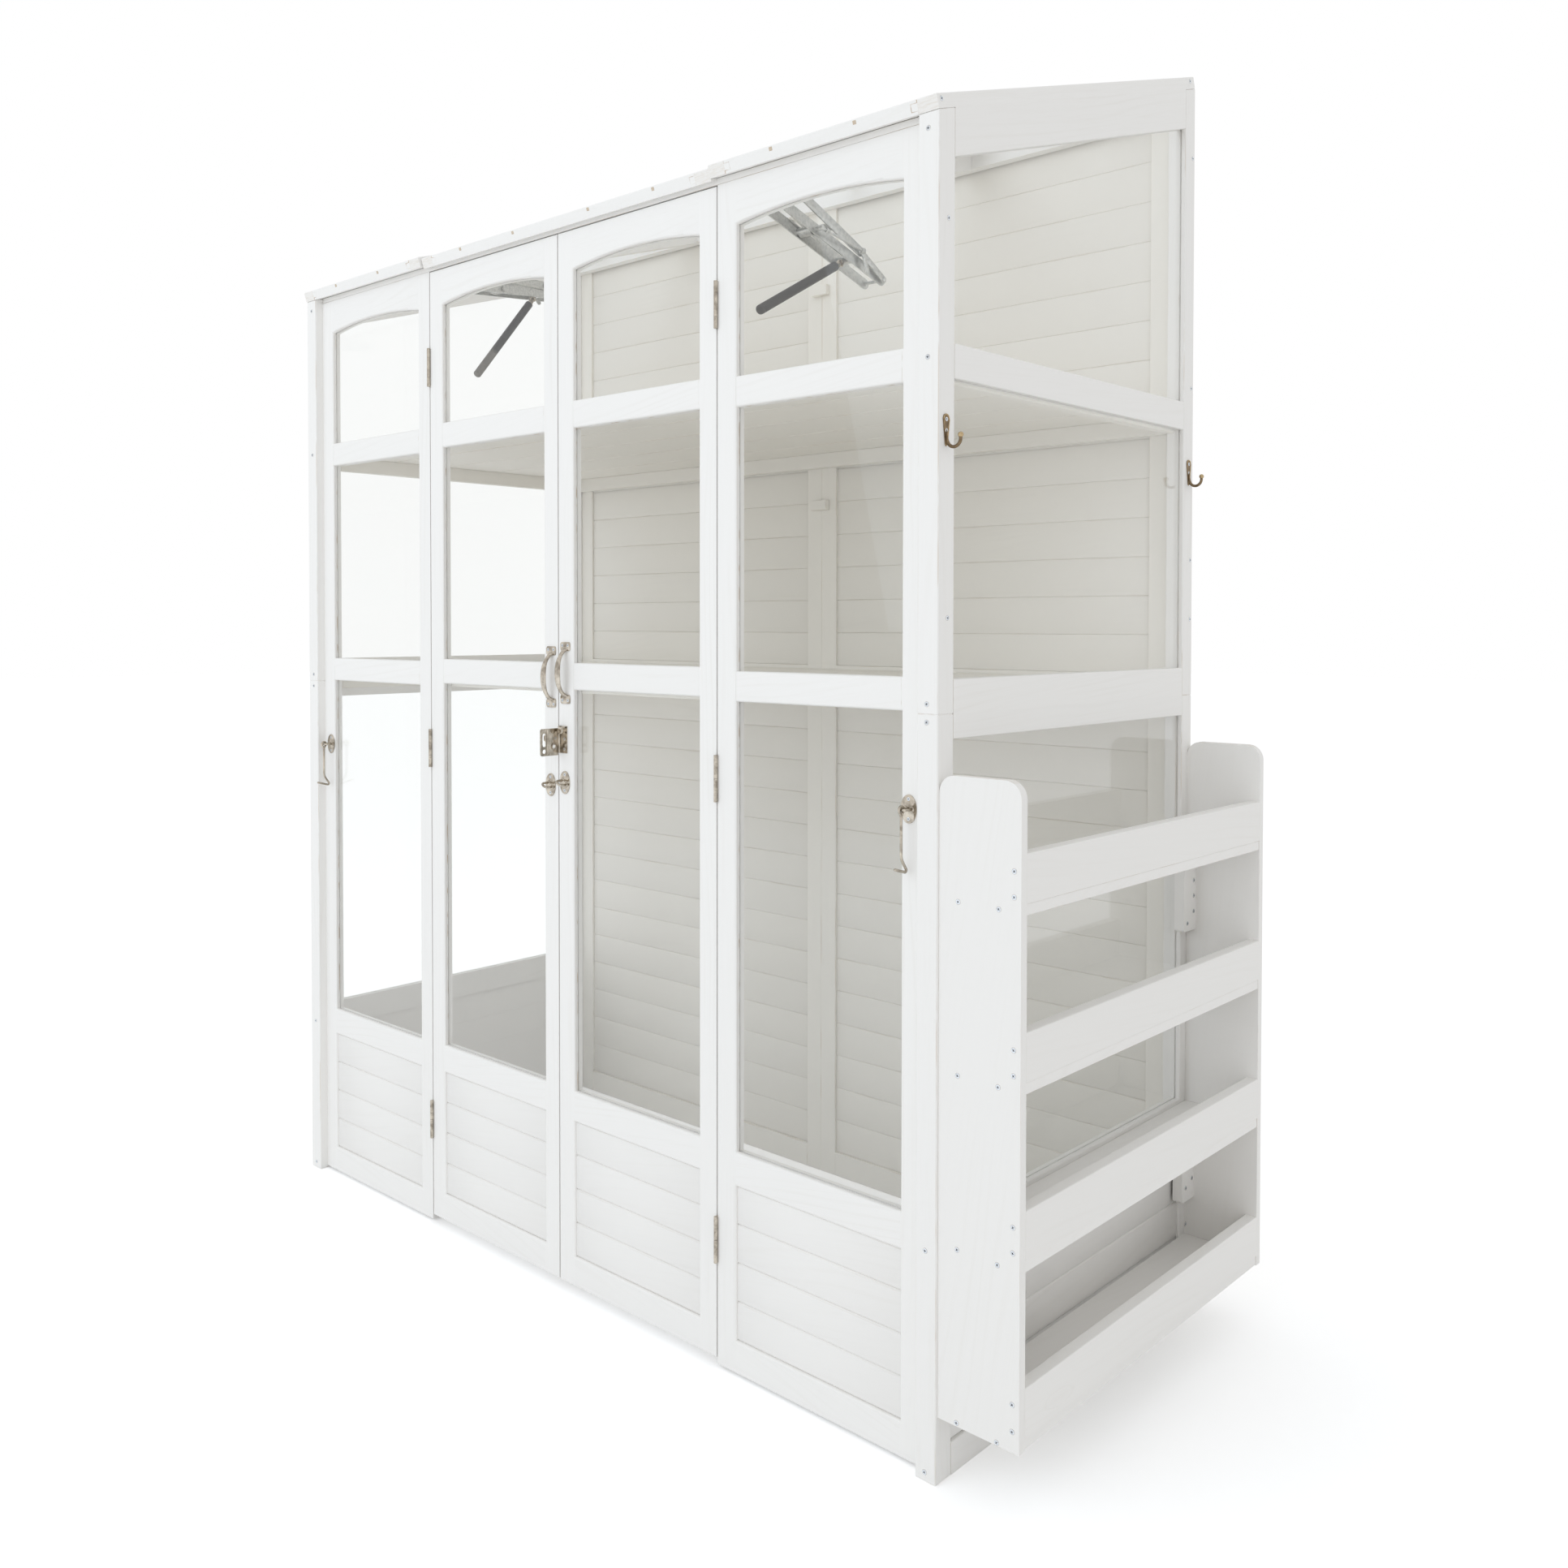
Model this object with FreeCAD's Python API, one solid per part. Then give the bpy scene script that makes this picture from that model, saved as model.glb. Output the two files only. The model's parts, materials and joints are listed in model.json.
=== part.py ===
import FreeCAD, Part
import math
import os

Vector = FreeCAD.Vector

# Millimetres, +Z up, the doors face -Y. The carcass is drawn with x = 0 in its middle,
# y = 0 on the front faces of the posts and z = 0 on the ground, and moved at the end.

# Carcass
WIDTH = 1680.0
DEPTH = 752.0
EAVES_HEIGHT = 1880.0
ROOF_PITCH = 17.62
POST_FACE = 35.0
POST_DEPTH = 37.0
SPLIT_HEIGHT = 1062.0
WALL_T = 20.0

# Door and panel frames
PANEL_SETBACK = 17.0
PANEL_WIDTH = 405.0
DOOR_GAP = 3.0
STILE = 40.0
PANEL_FOOT = 5.0
DOOR_FOOT = 15.0
DOOR_LIFT = 5.0
HEAD_CLEARANCE = 6.0
DOOR_HEAD_CLEARANCE = 8.0
BOTTOM_RAIL = 50.0
SILL_Z = 301.0
SILL_RAIL = 54.0
MID_RAIL = 48.0
UPPER_MID_DROP = 357.0
MID_STEP = 2.0
TOP_RAIL = 68.0
ARCH_RISE = 13.0
ARRIS = 4.0

# Infill
GLASS_T = 4.0
GLASS_SETBACK = 8.0
GROOVE_DEPTH = 6.0
GROOVE_EASE = 1.0
BOARD_T = 12.0
BOARD_SETBACK = 4.0
BOARD_COUNT = 4
BOARD_CHAMFER = 2.5

# Back wall
BACK_BOARD_T = 10.0
BACK_BOARD_PITCH = 70.0
BACK_TOP_RAIL = 32.0
BACK_HEAD_GAP = 1.0
SPLIT_RAIL = 35.0
BLOCK_SIZE = 42.0
BLOCK_T = 12.0
BLOCK_RISE = 378.0
BLOCK_DROP = 209.0

# Roof
ROOF_T = 20.0
LID_OVERHANG = 1.0
MIDDLE_SETBACK = 3.0
MIDDLE_DROP = 4.0
ROOF_BACK_GAP = 1.9
ROOF_STILE = 34.0
ROOF_RAIL = 45.0
ROOF_BAR = 18.0
ROOF_GLASS_LIFT = 8.0
BEAM_T = 20.0
EAVES_BEAM_H = 42.0
SILL_BEAM_H = 40.0
PLATE_DROP = 40.0
RAFTER_W = 30.0
RAFTER_H = 38.0
RAFTER_INSET = 4.0

# Side walls
SIDE_TOP_RAIL = 67.0
SIDE_BOTTOM_RAIL = 46.0

# Shelves inside
SHELF_T = 15.0
SHELF_BOARDS = 5
SHELF_GAP = 6.0
SHELF_RISE = 28.0
BEARER_T = 20.0
BEARER_H = 30.0

# Rack on the right side wall
RACK_DEPTH = 132.0
RACK_BOARD_T = 14.0
RACK_FRONT_Y = 4.0
RACK_Z0 = 95.0
RACK_Z1 = 981.0
RACK_CORNER = 25.0
RACK_LEVELS = 4
RACK_PITCH = 236.0
RACK_SHELF_T = 16.0
RACK_RAIL_H = 66.0
RACK_RAIL_T = 20.0
STRIP_W = 44.0
STRIP_T = 18.0
STRIP_H = 150.0

# Door hinges
HINGE_H = 75.0
HINGE_LOW_Z = 205.0
HINGE_MID_Z = 941.0
HINGE_TOP_DROP = 193.0
KNUCKLE_R = 3.15
KNUCKLES = 4
KNUCKLE_GAP = 0.3
PIN_R = 1.45
PIN_FIT = 0.05
LEAF_T = 1.4
BARREL_CLEAR = 0.15

# Door furniture
PLATE_T = 1.6
HANDLE_X = 20.0
LEFT_HANDLE_Z = 1091.0
RIGHT_HANDLE_Z = 1099.0
HANDLE_SPAN = 93.0
HANDLE_PLATE_W = 25.0
HANDLE_PLATE_H = 14.0
HANDLE_REACH = 22.0
HANDLE_END_W = 7.0
HANDLE_MID_W = 11.0
HANDLE_GRIP_T = 3.6
EYE_PLATE_W = 27.0
EYE_PLATE_H = 41.0
EYE_WIRE_R = 2.0
EYE_RING_R = 6.0
EYE_LEG = 12.0
RING_CORNERS = 4
LEFT_EYE_X = -22.0
LEFT_EYE_Z = 898.0
RIGHT_EYE_X = 18.0
RIGHT_EYE_Z = 905.0
HOOK_INSET = 61.0
HOOK_Z = 927.0
HOOK_WIRE_R = 2.15
HOOK_LOOP_R = 5.0
HOOK_DROP = 68.0
HOOK_KICK = 12.0
HOOK_END_DROP = 88.0
HOOK_TIP = 26.0

# Hasp, with its leaf hinged on the right door
HASP_X = 4.5
HASP_Z = 981.0
HASP_H = 48.0
HASP_BARREL_R = 2.4
HASP_PLATE_W = 17.0
HASP_KNOB_R = 6.5
HASP_REACH = 42.0
HASP_SLOT_AT = 33.5
HASP_SLOT_W = 7.5
HASP_SLOT_H = 24.0
HASP_STAPLE_R = 1.5
HASP_STAPLE_H = 18.0
HASP_STAPLE_OUT = 9.0
HASP_LEAF_DROP = 4.0
HASP_CORNER = 4.0

# Coat hooks
COAT_Z = 1449.0
COAT_PLATE_W = 12.0
COAT_PLATE_H = 44.0
COAT_R = 11.0
COAT_WIRE_R = 2.4
COAT_BALL_R = 4.0
COAT_CORNERS = 6

# Lid hinges and automatic openers
LID_HINGE_W = 60.0
LID_HINGE_INSET = 80.0
LID_BARREL_R = 2.6
LID_LEAF_H = 30.0
OPENER_INSET = 30.0
OPENER_Y = 92.0
OPENER_DROP = 14.0
RIGHT_OPENER_LID_Y = 105.5
LEFT_OPENER_LID_Y = 91.0
OPENER_LID_DROP = 12.0
OPENER_ARM = 290.0
OPENER_ARM_W = 18.0
OPENER_ARM_T = 2.5
OPENER_INNER = 17.0
OPENER_OUTER = 22.0
OPENER_AXLE_R = 3.0
OPENER_EYE_R = 7.0
CYLINDER_R = 8.0
CYLINDER_L = 215.0
CYLINDER_NECK = 12.0
CYLINDER_FOLD = 46.5
CYLINDER_AT = 211.0
SPRING_AT = 106.0
SPRING_WIRE_R = 1.25
SPRING_TURNS = 6
SPRING_CORNERS = 10
SPRING_PITCH = 3.2
SPRING_SLACK = 0.35
SPACER_R = 5.4
SPRING_TAIL = 30.0
SPRING_LEG = 68.0

HALF = WIDTH / 2
TAN = math.tan(math.radians(ROOF_PITCH))
COS = math.cos(math.radians(ROOF_PITCH))
SIN = math.sin(math.radians(ROOF_PITCH))
PANEL_Y = PANEL_SETBACK
PANEL_BACK = PANEL_Y + WALL_T
OPENING_HALF = HALF - POST_FACE - PANEL_WIDTH
ROOF_LENGTH = (DEPTH - ROOF_BACK_GAP) / COS
HINGE_CENTRES = (HINGE_LOW_Z, HINGE_MID_Z, EAVES_HEIGHT - HINGE_TOP_DROP)
OPENER_X = OPENING_HALF + OPENER_INSET
HOOK_X = HALF - HOOK_INSET
OPENER_Z = EAVES_HEIGHT - OPENER_DROP
LOWER_MID_Z = SPLIT_HEIGHT + MID_STEP
UPPER_MID_Z = EAVES_HEIGHT - UPPER_MID_DROP
BACK_Y = DEPTH - WALL_T
BACK_POST_Y = DEPTH - POST_FACE
SIDE_IN = HALF - WALL_T
PIVOT_X = OPENING_HALF - DOOR_GAP / 2
PIVOT_Y = PANEL_Y - KNUCKLE_R - BARREL_CLEAR
LID_PIVOT_S = ROOF_LENGTH + PLATE_T + LID_BARREL_R + 0.3
LID_PIVOT_N = -1.0
RING_Y = PANEL_Y - EYE_LEG - EYE_RING_R
HASP_Y = PANEL_Y - HASP_BARREL_R - BARREL_CLEAR

# The box of the whole thing: from the left side wall to the rack's rails, and from the
# tips of the gate hooks or of the hasp's leaf to the barrels of the lid hinges.
LID_PIVOT_Y = LID_PIVOT_S * COS - LID_PIVOT_N * SIN
LID_PIVOT_Z = EAVES_HEIGHT + LID_PIVOT_S * SIN + LID_PIVOT_N * COS
FRONT_Y = min(RING_Y + HOOK_KICK - HOOK_TIP - HOOK_WIRE_R, HASP_Y - HASP_REACH)
REAR_Y = LID_PIVOT_Y + LID_BARREL_R
SHIFT = Vector(-RACK_DEPTH / 2, -(FRONT_Y + REAR_Y) / 2, 0)

os.makedirs("parts", exist_ok=True)


# Solids and helpers

def box(x0, x1, y0, y1, z0, z1):
    return Part.makeBox(x1 - x0, y1 - y0, z1 - z0, Vector(x0, y0, z0))


def prism_x(points, x0, x1):
    """A (y, z) outline pushed along x."""
    ring = [Vector(x0, y, z) for y, z in points]
    face = Part.Face(Part.makePolygon(ring + [ring[0]]))
    return face.extrude(Vector(x1 - x0, 0, 0))


def prism_y(edges, depth):
    """A closed outline in the xz plane pushed along +y."""
    return Part.Face(Part.Wire(edges)).extrude(Vector(0, depth, 0))


def line(a, b):
    return Part.LineSegment(a, b).toShape()


def arc(a, b, c):
    return Part.Arc(a, b, c).toShape()


def join(shapes):
    body = shapes[0].multiFuse(shapes[1:]) if len(shapes) > 1 else shapes[0]
    return body.removeSplitter()


def mirror(shape):
    return shape.mirror(Vector(0, 0, 0), Vector(1, 0, 0))


def both(shape):
    """The shape and its mirror image, as solids of one node."""
    return Part.makeCompound(solids([shape, mirror(shape)]))


def solids(shapes):
    return [solid for shape in shapes for solid in shape.Solids]


def rod(a, b, r):
    step = b.sub(a)
    return Part.makeCylinder(r, step.Length, a, step)


def wire(points, r):
    """A round wire along the points, mitred at each bend."""
    ring = Part.Wire([Part.makeCircle(r, points[0], points[1].sub(points[0]))])
    return Part.makePolygon(points).makePipeShell([ring], True, False, 1)


def half_ring(radius, corners):
    """Bend points (across, out) of half a ring, each side touching the circle."""
    step = math.pi / corners
    reach = radius / math.cos(step / 2)
    angles = [step * (corner + 0.5) for corner in range(corners)]
    return [(reach * math.cos(angle), reach * math.sin(angle)) for angle in angles]


def roof_z(y):
    """Height of the walls' top edge, which the lids lie on."""
    return EAVES_HEIGHT + y * TAN


def on_roof(shape):
    """Turns a shape drawn flat (x, s up the slope, n off it) on to the roof."""
    placed = shape.copy()
    placed.rotate(Vector(0, 0, 0), Vector(1, 0, 0), ROOF_PITCH)
    placed.translate(Vector(0, 0, EAVES_HEIGHT))
    return placed


def round_edges(shape, radius, wanted):
    edges = [edge for edge in shape.Edges if wanted(edge)]
    return shape.makeFillet(radius, edges) if edges else shape


def save(name, shape):
    placed = shape.copy()
    placed.translate(SHIFT)
    placed.exportStep("parts/" + name + ".step")
    print(name, len(placed.Solids), "solids")


# Posts: each is a lower and an upper length, grooved for the side glass

def glass_groove(y0, y1, z0, z1):
    x0 = HALF - GLASS_SETBACK - GLASS_T - GROOVE_EASE
    return box(x0, x0 + GLASS_T + GROOVE_EASE, y0, y1, z0, z1)


def post(y0, y1, x_in, grooves):
    lower = box(x_in, HALF, y0, y1, 0, SPLIT_HEIGHT)
    outline = [(y0, SPLIT_HEIGHT), (y1, SPLIT_HEIGHT), (y1, roof_z(y1)), (y0, roof_z(y0))]
    upper = prism_x(outline, x_in, HALF)
    for groove in grooves:
        lower = lower.cut(groove)
        upper = upper.cut(groove)
    return Part.makeCompound(solids([lower, upper]))


def post_grooves(y0, y1, y_edge):
    low = glass_groove(y0, y1, SILL_Z + SILL_RAIL - GROOVE_DEPTH, SIDE_LOW_TOP + GROOVE_DEPTH)
    top = roof_z(y_edge) - SIDE_TOP_RAIL + GROOVE_DEPTH
    return [low, glass_groove(y0, y1, SPLIT_HEIGHT + MID_RAIL - GROOVE_DEPTH, top)]


SIDE_LOW_TOP = SPLIT_HEIGHT - SPLIT_RAIL


def make_posts():
    cuts = post_grooves(POST_DEPTH - GROOVE_DEPTH, POST_DEPTH, POST_DEPTH)
    front = post(0, POST_DEPTH, HALF - POST_FACE, cuts)
    cuts = post_grooves(BACK_POST_Y, BACK_POST_Y + GROOVE_DEPTH, BACK_POST_Y)
    back = post(BACK_POST_Y, DEPTH, HALF - POST_FACE, cuts)
    save("front_right_post", front)
    save("front_left_post", mirror(front))
    save("back_right_post", back)
    save("back_left_post", mirror(back))


# Side walls: rails between the posts, boards below, glass above

def side_levels():
    """(z0, z1) of the level rails of a side wall, from the ground up."""
    return [
        (0, SIDE_BOTTOM_RAIL),
        (SILL_Z, SILL_Z + SILL_RAIL),
        (SIDE_LOW_TOP, SPLIT_HEIGHT),
        (SPLIT_HEIGHT, SPLIT_HEIGHT + MID_RAIL),
        (UPPER_MID_Z, UPPER_MID_Z + MID_RAIL),
    ]


def side_grooves():
    y0, y1 = POST_DEPTH, BACK_POST_Y
    top = roof_z(y0) - SIDE_TOP_RAIL
    end = roof_z(y1) - SIDE_TOP_RAIL
    x0 = HALF - GLASS_SETBACK - GLASS_T - GROOVE_EASE
    slope = [(y0, UPPER_MID_Z), (y1, UPPER_MID_Z), (y1, end + GROOVE_DEPTH), (y0, top + GROOVE_DEPTH)]
    low_z0 = SILL_Z + SILL_RAIL - GROOVE_DEPTH
    mid_z0 = SPLIT_HEIGHT + MID_RAIL - GROOVE_DEPTH
    return [
        glass_groove(y0, y1, low_z0, SIDE_LOW_TOP + GROOVE_DEPTH),
        glass_groove(y0, y1, mid_z0, UPPER_MID_Z + GROOVE_DEPTH),
        prism_x(slope, x0, x0 + GLASS_T + GROOVE_EASE).cut(
            box(x0, HALF, y0, y1, 0, UPPER_MID_Z + MID_RAIL - GROOVE_DEPTH)),
    ]


def make_side_rails():
    y0, y1 = POST_DEPTH, BACK_POST_Y
    rails = [box(SIDE_IN, HALF, y0, y1, z0, z1) for z0, z1 in side_levels()]
    outline = [(y0, roof_z(y0) - SIDE_TOP_RAIL), (y1, roof_z(y1) - SIDE_TOP_RAIL), (y1, roof_z(y1)), (y0, roof_z(y0))]
    rails.append(prism_x(outline, SIDE_IN, HALF))
    cut_rails = []
    for rail in rails:
        eased = round_edges(rail, ARRIS / 2, side_arris)
        for groove in side_grooves():
            eased = eased.cut(groove)
        cut_rails.append(eased)
    save("side_rails", both(Part.makeCompound(cut_rails)))


def side_arris(edge):
    """Long outer edges of a side rail, apart from those against the split and the roof."""
    size = edge.BoundBox
    outer = size.XMin > HALF - 0.01
    long_edge = size.YLength > 2 * POST_DEPTH
    at_split = abs(size.ZMin - SPLIT_HEIGHT) < 0.01 and size.ZLength < 0.01
    at_roof = abs(size.ZMax - roof_z(BACK_POST_Y)) < 0.01
    return outer and long_edge and not at_split and not at_roof and size.ZMin > 0.01


def board(x0, x1, y0, z0, z1):
    """A level board whose front long edges are chamfered, so that two make a V joint."""
    c = BOARD_CHAMFER
    y1 = y0 + BOARD_T
    outline = [(y0 + c, z0), (y0, z0 + c), (y0, z1 - c), (y0 + c, z1), (y1, z1), (y1, z0)]
    return prism_x(outline, x0, x1)


def make_side_boards():
    length = BACK_POST_Y - POST_DEPTH
    height = (SILL_Z - SIDE_BOTTOM_RAIL) / BOARD_COUNT
    boards = []
    for row in range(BOARD_COUNT):
        z0 = SIDE_BOTTOM_RAIL + row * height
        flat = board(0, length, 0, z0, z0 + height)
        flat.rotate(Vector(0, 0, 0), Vector(0, 0, 1), 90)
        flat.translate(Vector(HALF - BOARD_SETBACK, POST_DEPTH, 0))
        boards.append(flat)
    save("side_boards", both(Part.makeCompound(boards)))


def make_side_glass():
    ease = GROOVE_EASE
    y0 = POST_DEPTH - GROOVE_DEPTH + ease
    y1 = BACK_POST_Y + GROOVE_DEPTH - ease
    x1 = HALF - GLASS_SETBACK
    x0 = x1 - GLASS_T
    reach = GROOVE_DEPTH - ease
    low = box(x0, x1, y0, y1, SILL_Z + SILL_RAIL - GROOVE_DEPTH, SIDE_LOW_TOP + reach)
    mid = box(x0, x1, y0, y1, SPLIT_HEIGHT + MID_RAIL - GROOVE_DEPTH, UPPER_MID_Z + reach)
    foot = UPPER_MID_Z + MID_RAIL - GROOVE_DEPTH
    under = SIDE_TOP_RAIL - reach
    head = [(y0, foot), (y1, foot), (y1, roof_z(BACK_POST_Y) - under), (BACK_POST_Y, roof_z(BACK_POST_Y) - under),
            (POST_DEPTH, roof_z(POST_DEPTH) - under), (y0, roof_z(POST_DEPTH) - under)]
    save("side_glass", both(Part.makeCompound([low, mid, prism_x(head, x0, x1)])))


# Front panels and doors: one frame pattern, the doors a little higher

class Leaf:
    """A stile-and-rail frame with boards below, two panes and an arched pane above."""

    def __init__(self, x0, x1, foot, top, lift):
        self.x0 = x0
        self.x1 = x1
        self.foot = foot
        self.top = top
        self.board_z0 = foot + BOTTOM_RAIL
        self.board_z1 = SILL_Z + lift
        self.low_z0 = self.board_z1 + SILL_RAIL
        self.low_z1 = LOWER_MID_Z + lift
        self.mid_z0 = self.low_z1 + MID_RAIL
        self.mid_z1 = UPPER_MID_Z + lift
        self.head_z0 = self.mid_z1 + MID_RAIL
        self.spring = top - TOP_RAIL
        self.in_x0 = x0 + STILE
        self.in_x1 = x1 - STILE

    def arched_opening(self):
        y = PANEL_Y
        a = Vector(self.in_x0, y, self.head_z0)
        b = Vector(self.in_x1, y, self.head_z0)
        c = Vector(self.in_x1, y, self.spring)
        d = Vector(self.in_x0, y, self.spring)
        crown = Vector((self.in_x0 + self.in_x1) / 2, y, self.spring + ARCH_RISE)
        return prism_y([line(a, b), line(b, c), arc(c, crown, d), line(d, a)], WALL_T)

    def pane_zones(self):
        crown = self.spring + ARCH_RISE
        return [(self.low_z0, self.low_z1), (self.mid_z0, self.mid_z1), (self.head_z0, crown)]

    def frame(self):
        body = box(self.x0, self.x1, PANEL_Y, PANEL_BACK, self.foot, self.top)
        zones = [(self.board_z0, self.board_z1), (self.low_z0, self.low_z1), (self.mid_z0, self.mid_z1)]
        for z0, z1 in zones:
            body = body.cut(box(self.in_x0, self.in_x1, PANEL_Y, PANEL_BACK, z0, z1))
        body = body.cut(self.arched_opening())
        body = round_edges(body, ARRIS, self.is_inner_arris)
        for z0, z1 in self.pane_zones():
            groove = box(self.in_x0 - GROOVE_DEPTH, self.in_x1 + GROOVE_DEPTH,
                         PANEL_Y + GLASS_SETBACK - GROOVE_EASE, PANEL_Y + GLASS_SETBACK + GLASS_T,
                         z0 - GROOVE_DEPTH, z1 + GROOVE_DEPTH)
            body = body.cut(groove)
        return self.split(body)

    def is_inner_arris(self, edge):
        size = edge.BoundBox
        on_front = size.YMax < PANEL_Y + 0.01
        middle = size.Center
        inside_x = self.x0 + 1 < middle.x < self.x1 - 1
        return on_front and inside_x and self.foot + 1 < middle.z < self.top - 1

    def split(self, body):
        """Stiles run through, rails stand between them."""
        y0, y1 = PANEL_Y, PANEL_BACK
        left = body.common(box(self.x0, self.in_x0, y0, y1, self.foot, self.top))
        right = body.common(box(self.in_x1, self.x1, y0, y1, self.foot, self.top))
        rails = body.common(box(self.in_x0, self.in_x1, y0, y1, self.foot, self.top))
        return Part.makeCompound(solids([left, right, rails]))

    def boards(self):
        height = (self.board_z1 - self.board_z0) / BOARD_COUNT
        rows = []
        for row in range(BOARD_COUNT):
            z0 = self.board_z0 + row * height
            rows.append(board(self.in_x0, self.in_x1, PANEL_Y + BOARD_SETBACK, z0, z0 + height))
        return Part.makeCompound(rows)

    def glass(self):
        reach = GROOVE_DEPTH - GROOVE_EASE
        y0 = PANEL_Y + GLASS_SETBACK
        panes = []
        for z0, z1 in self.pane_zones():
            panes.append(box(self.in_x0 - reach, self.in_x1 + reach, y0, y0 + GLASS_T,
                             z0 - GROOVE_DEPTH, z1 + reach))
        return Part.makeCompound(panes)


def make_leaves():
    top = EAVES_HEIGHT - HEAD_CLEARANCE
    panel = Leaf(OPENING_HALF, OPENING_HALF + PANEL_WIDTH, PANEL_FOOT, top, 0)
    door_top = EAVES_HEIGHT - DOOR_HEAD_CLEARANCE
    door = Leaf(DOOR_GAP / 2, OPENING_HALF - DOOR_GAP, DOOR_FOOT, door_top, DOOR_LIFT)
    save("right_panel_frame", panel.frame())
    save("left_panel_frame", mirror(panel.frame()))
    save("panel_boards", both(panel.boards()))
    save("panel_glass", both(panel.glass()))
    for part, shape in (("frame", door.frame()), ("boards", door.boards()), ("glass", door.glass())):
        save("right_door_" + part, shape)
        save("left_door_" + part, mirror(shape))


# Back wall: two boarded frames side by side, each in a lower and an upper half

def back_top():
    return roof_z(BACK_Y) - MIDDLE_DROP / COS - BACK_HEAD_GAP


def back_zones():
    """(z0, z1) of the boarded fields of the lower and the upper half."""
    lower = (BOTTOM_RAIL, SPLIT_HEIGHT - SPLIT_RAIL)
    upper = (SPLIT_HEIGHT + SPLIT_RAIL, back_top() - BACK_TOP_RAIL)
    return [lower, upper]


def make_back_wall():
    x0, x1 = 0, HALF - POST_FACE
    in_x0, in_x1 = x0 + STILE, x1 - STILE
    frames = []
    boards = []
    bounds = ((0, SPLIT_HEIGHT), (SPLIT_HEIGHT, back_top()))
    for (z0, z1), (field_z0, field_z1) in zip(bounds, back_zones()):
        frames.append(box(x0, in_x0, BACK_Y, DEPTH, z0, z1))
        frames.append(box(in_x1, x1, BACK_Y, DEPTH, z0, z1))
        frames.append(box(in_x0, in_x1, BACK_Y, DEPTH, z0, field_z0))
        frames.append(box(in_x0, in_x1, BACK_Y, DEPTH, field_z1, z1))
        boards += back_rows(in_x0, in_x1, field_z0, field_z1)
    walls = both(Part.makeCompound(frames))
    save("back_frames", Part.makeCompound(solids([walls] + back_blocks())))
    save("back_boards", both(Part.makeCompound(boards)))


def back_rows(x0, x1, z0, z1):
    rows = max(1, round((z1 - z0) / BACK_BOARD_PITCH))
    height = (z1 - z0) / rows
    y0 = BACK_Y + (WALL_T - BACK_BOARD_T) / 2
    y1 = y0 + BACK_BOARD_T
    c = BOARD_CHAMFER / 2
    boards = []
    for row in range(rows):
        a = z0 + row * height
        b = a + height
        outline = [(y0 + c, a), (y0, a + c), (y0, b - c), (y0 + c, b), (y1, b), (y1, a)]
        boards.append(prism_x(outline, x0, x1))
    return boards


def back_blocks():
    """Blocks that hold the two frames together across their joint."""
    x = BLOCK_SIZE / 2
    h = BLOCK_SIZE / 4
    heights = (SPLIT_HEIGHT + BLOCK_RISE, back_top() - BLOCK_DROP)
    return [box(-x, x, BACK_Y - BLOCK_T, BACK_Y, z - h, z + h) for z in heights]


# Roof: beams, the fixed middle and the two lids

def beam(y0, y1, z_low, x_end):
    """A level beam whose top follows the roof, 4 mm lower under the middle section."""
    drop = MIDDLE_DROP / COS
    edge = OPENING_HALF
    outer = [(y0, z_low), (y1, z_low), (y1, roof_z(y1)), (y0, roof_z(y0))]
    inner = [(y0, z_low), (y1, z_low), (y1, roof_z(y1) - drop), (y0, roof_z(y0) - drop)]
    parts = [prism_x(outer, -x_end, -edge), prism_x(inner, -edge, edge), prism_x(outer, edge, x_end)]
    return join(parts)


def make_roof_beams():
    eaves = beam(PANEL_BACK, PANEL_BACK + BEAM_T, EAVES_HEIGHT - EAVES_BEAM_H, SIDE_IN)
    plate_y = BACK_Y - BEAM_T
    plate = beam(plate_y, BACK_Y, roof_z(plate_y) - PLATE_DROP, HALF - POST_FACE)
    drop = MIDDLE_DROP / COS
    y0, y1 = PANEL_BACK + BEAM_T, plate_y
    outline = [(y0, roof_z(y0) - drop - RAFTER_H), (y1, roof_z(y1) - drop - RAFTER_H),
               (y1, roof_z(y1) - drop), (y0, roof_z(y0) - drop)]
    x1 = OPENING_HALF - RAFTER_INSET
    rafter = prism_x(outline, x1 - RAFTER_W, x1)
    save("roof_beams", Part.makeCompound(solids([eaves, plate, rafter, mirror(rafter)])))
    save("sill_beam", box(-SIDE_IN, SIDE_IN, PANEL_BACK, PANEL_BACK + BEAM_T, 0, SILL_BEAM_H))


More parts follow.
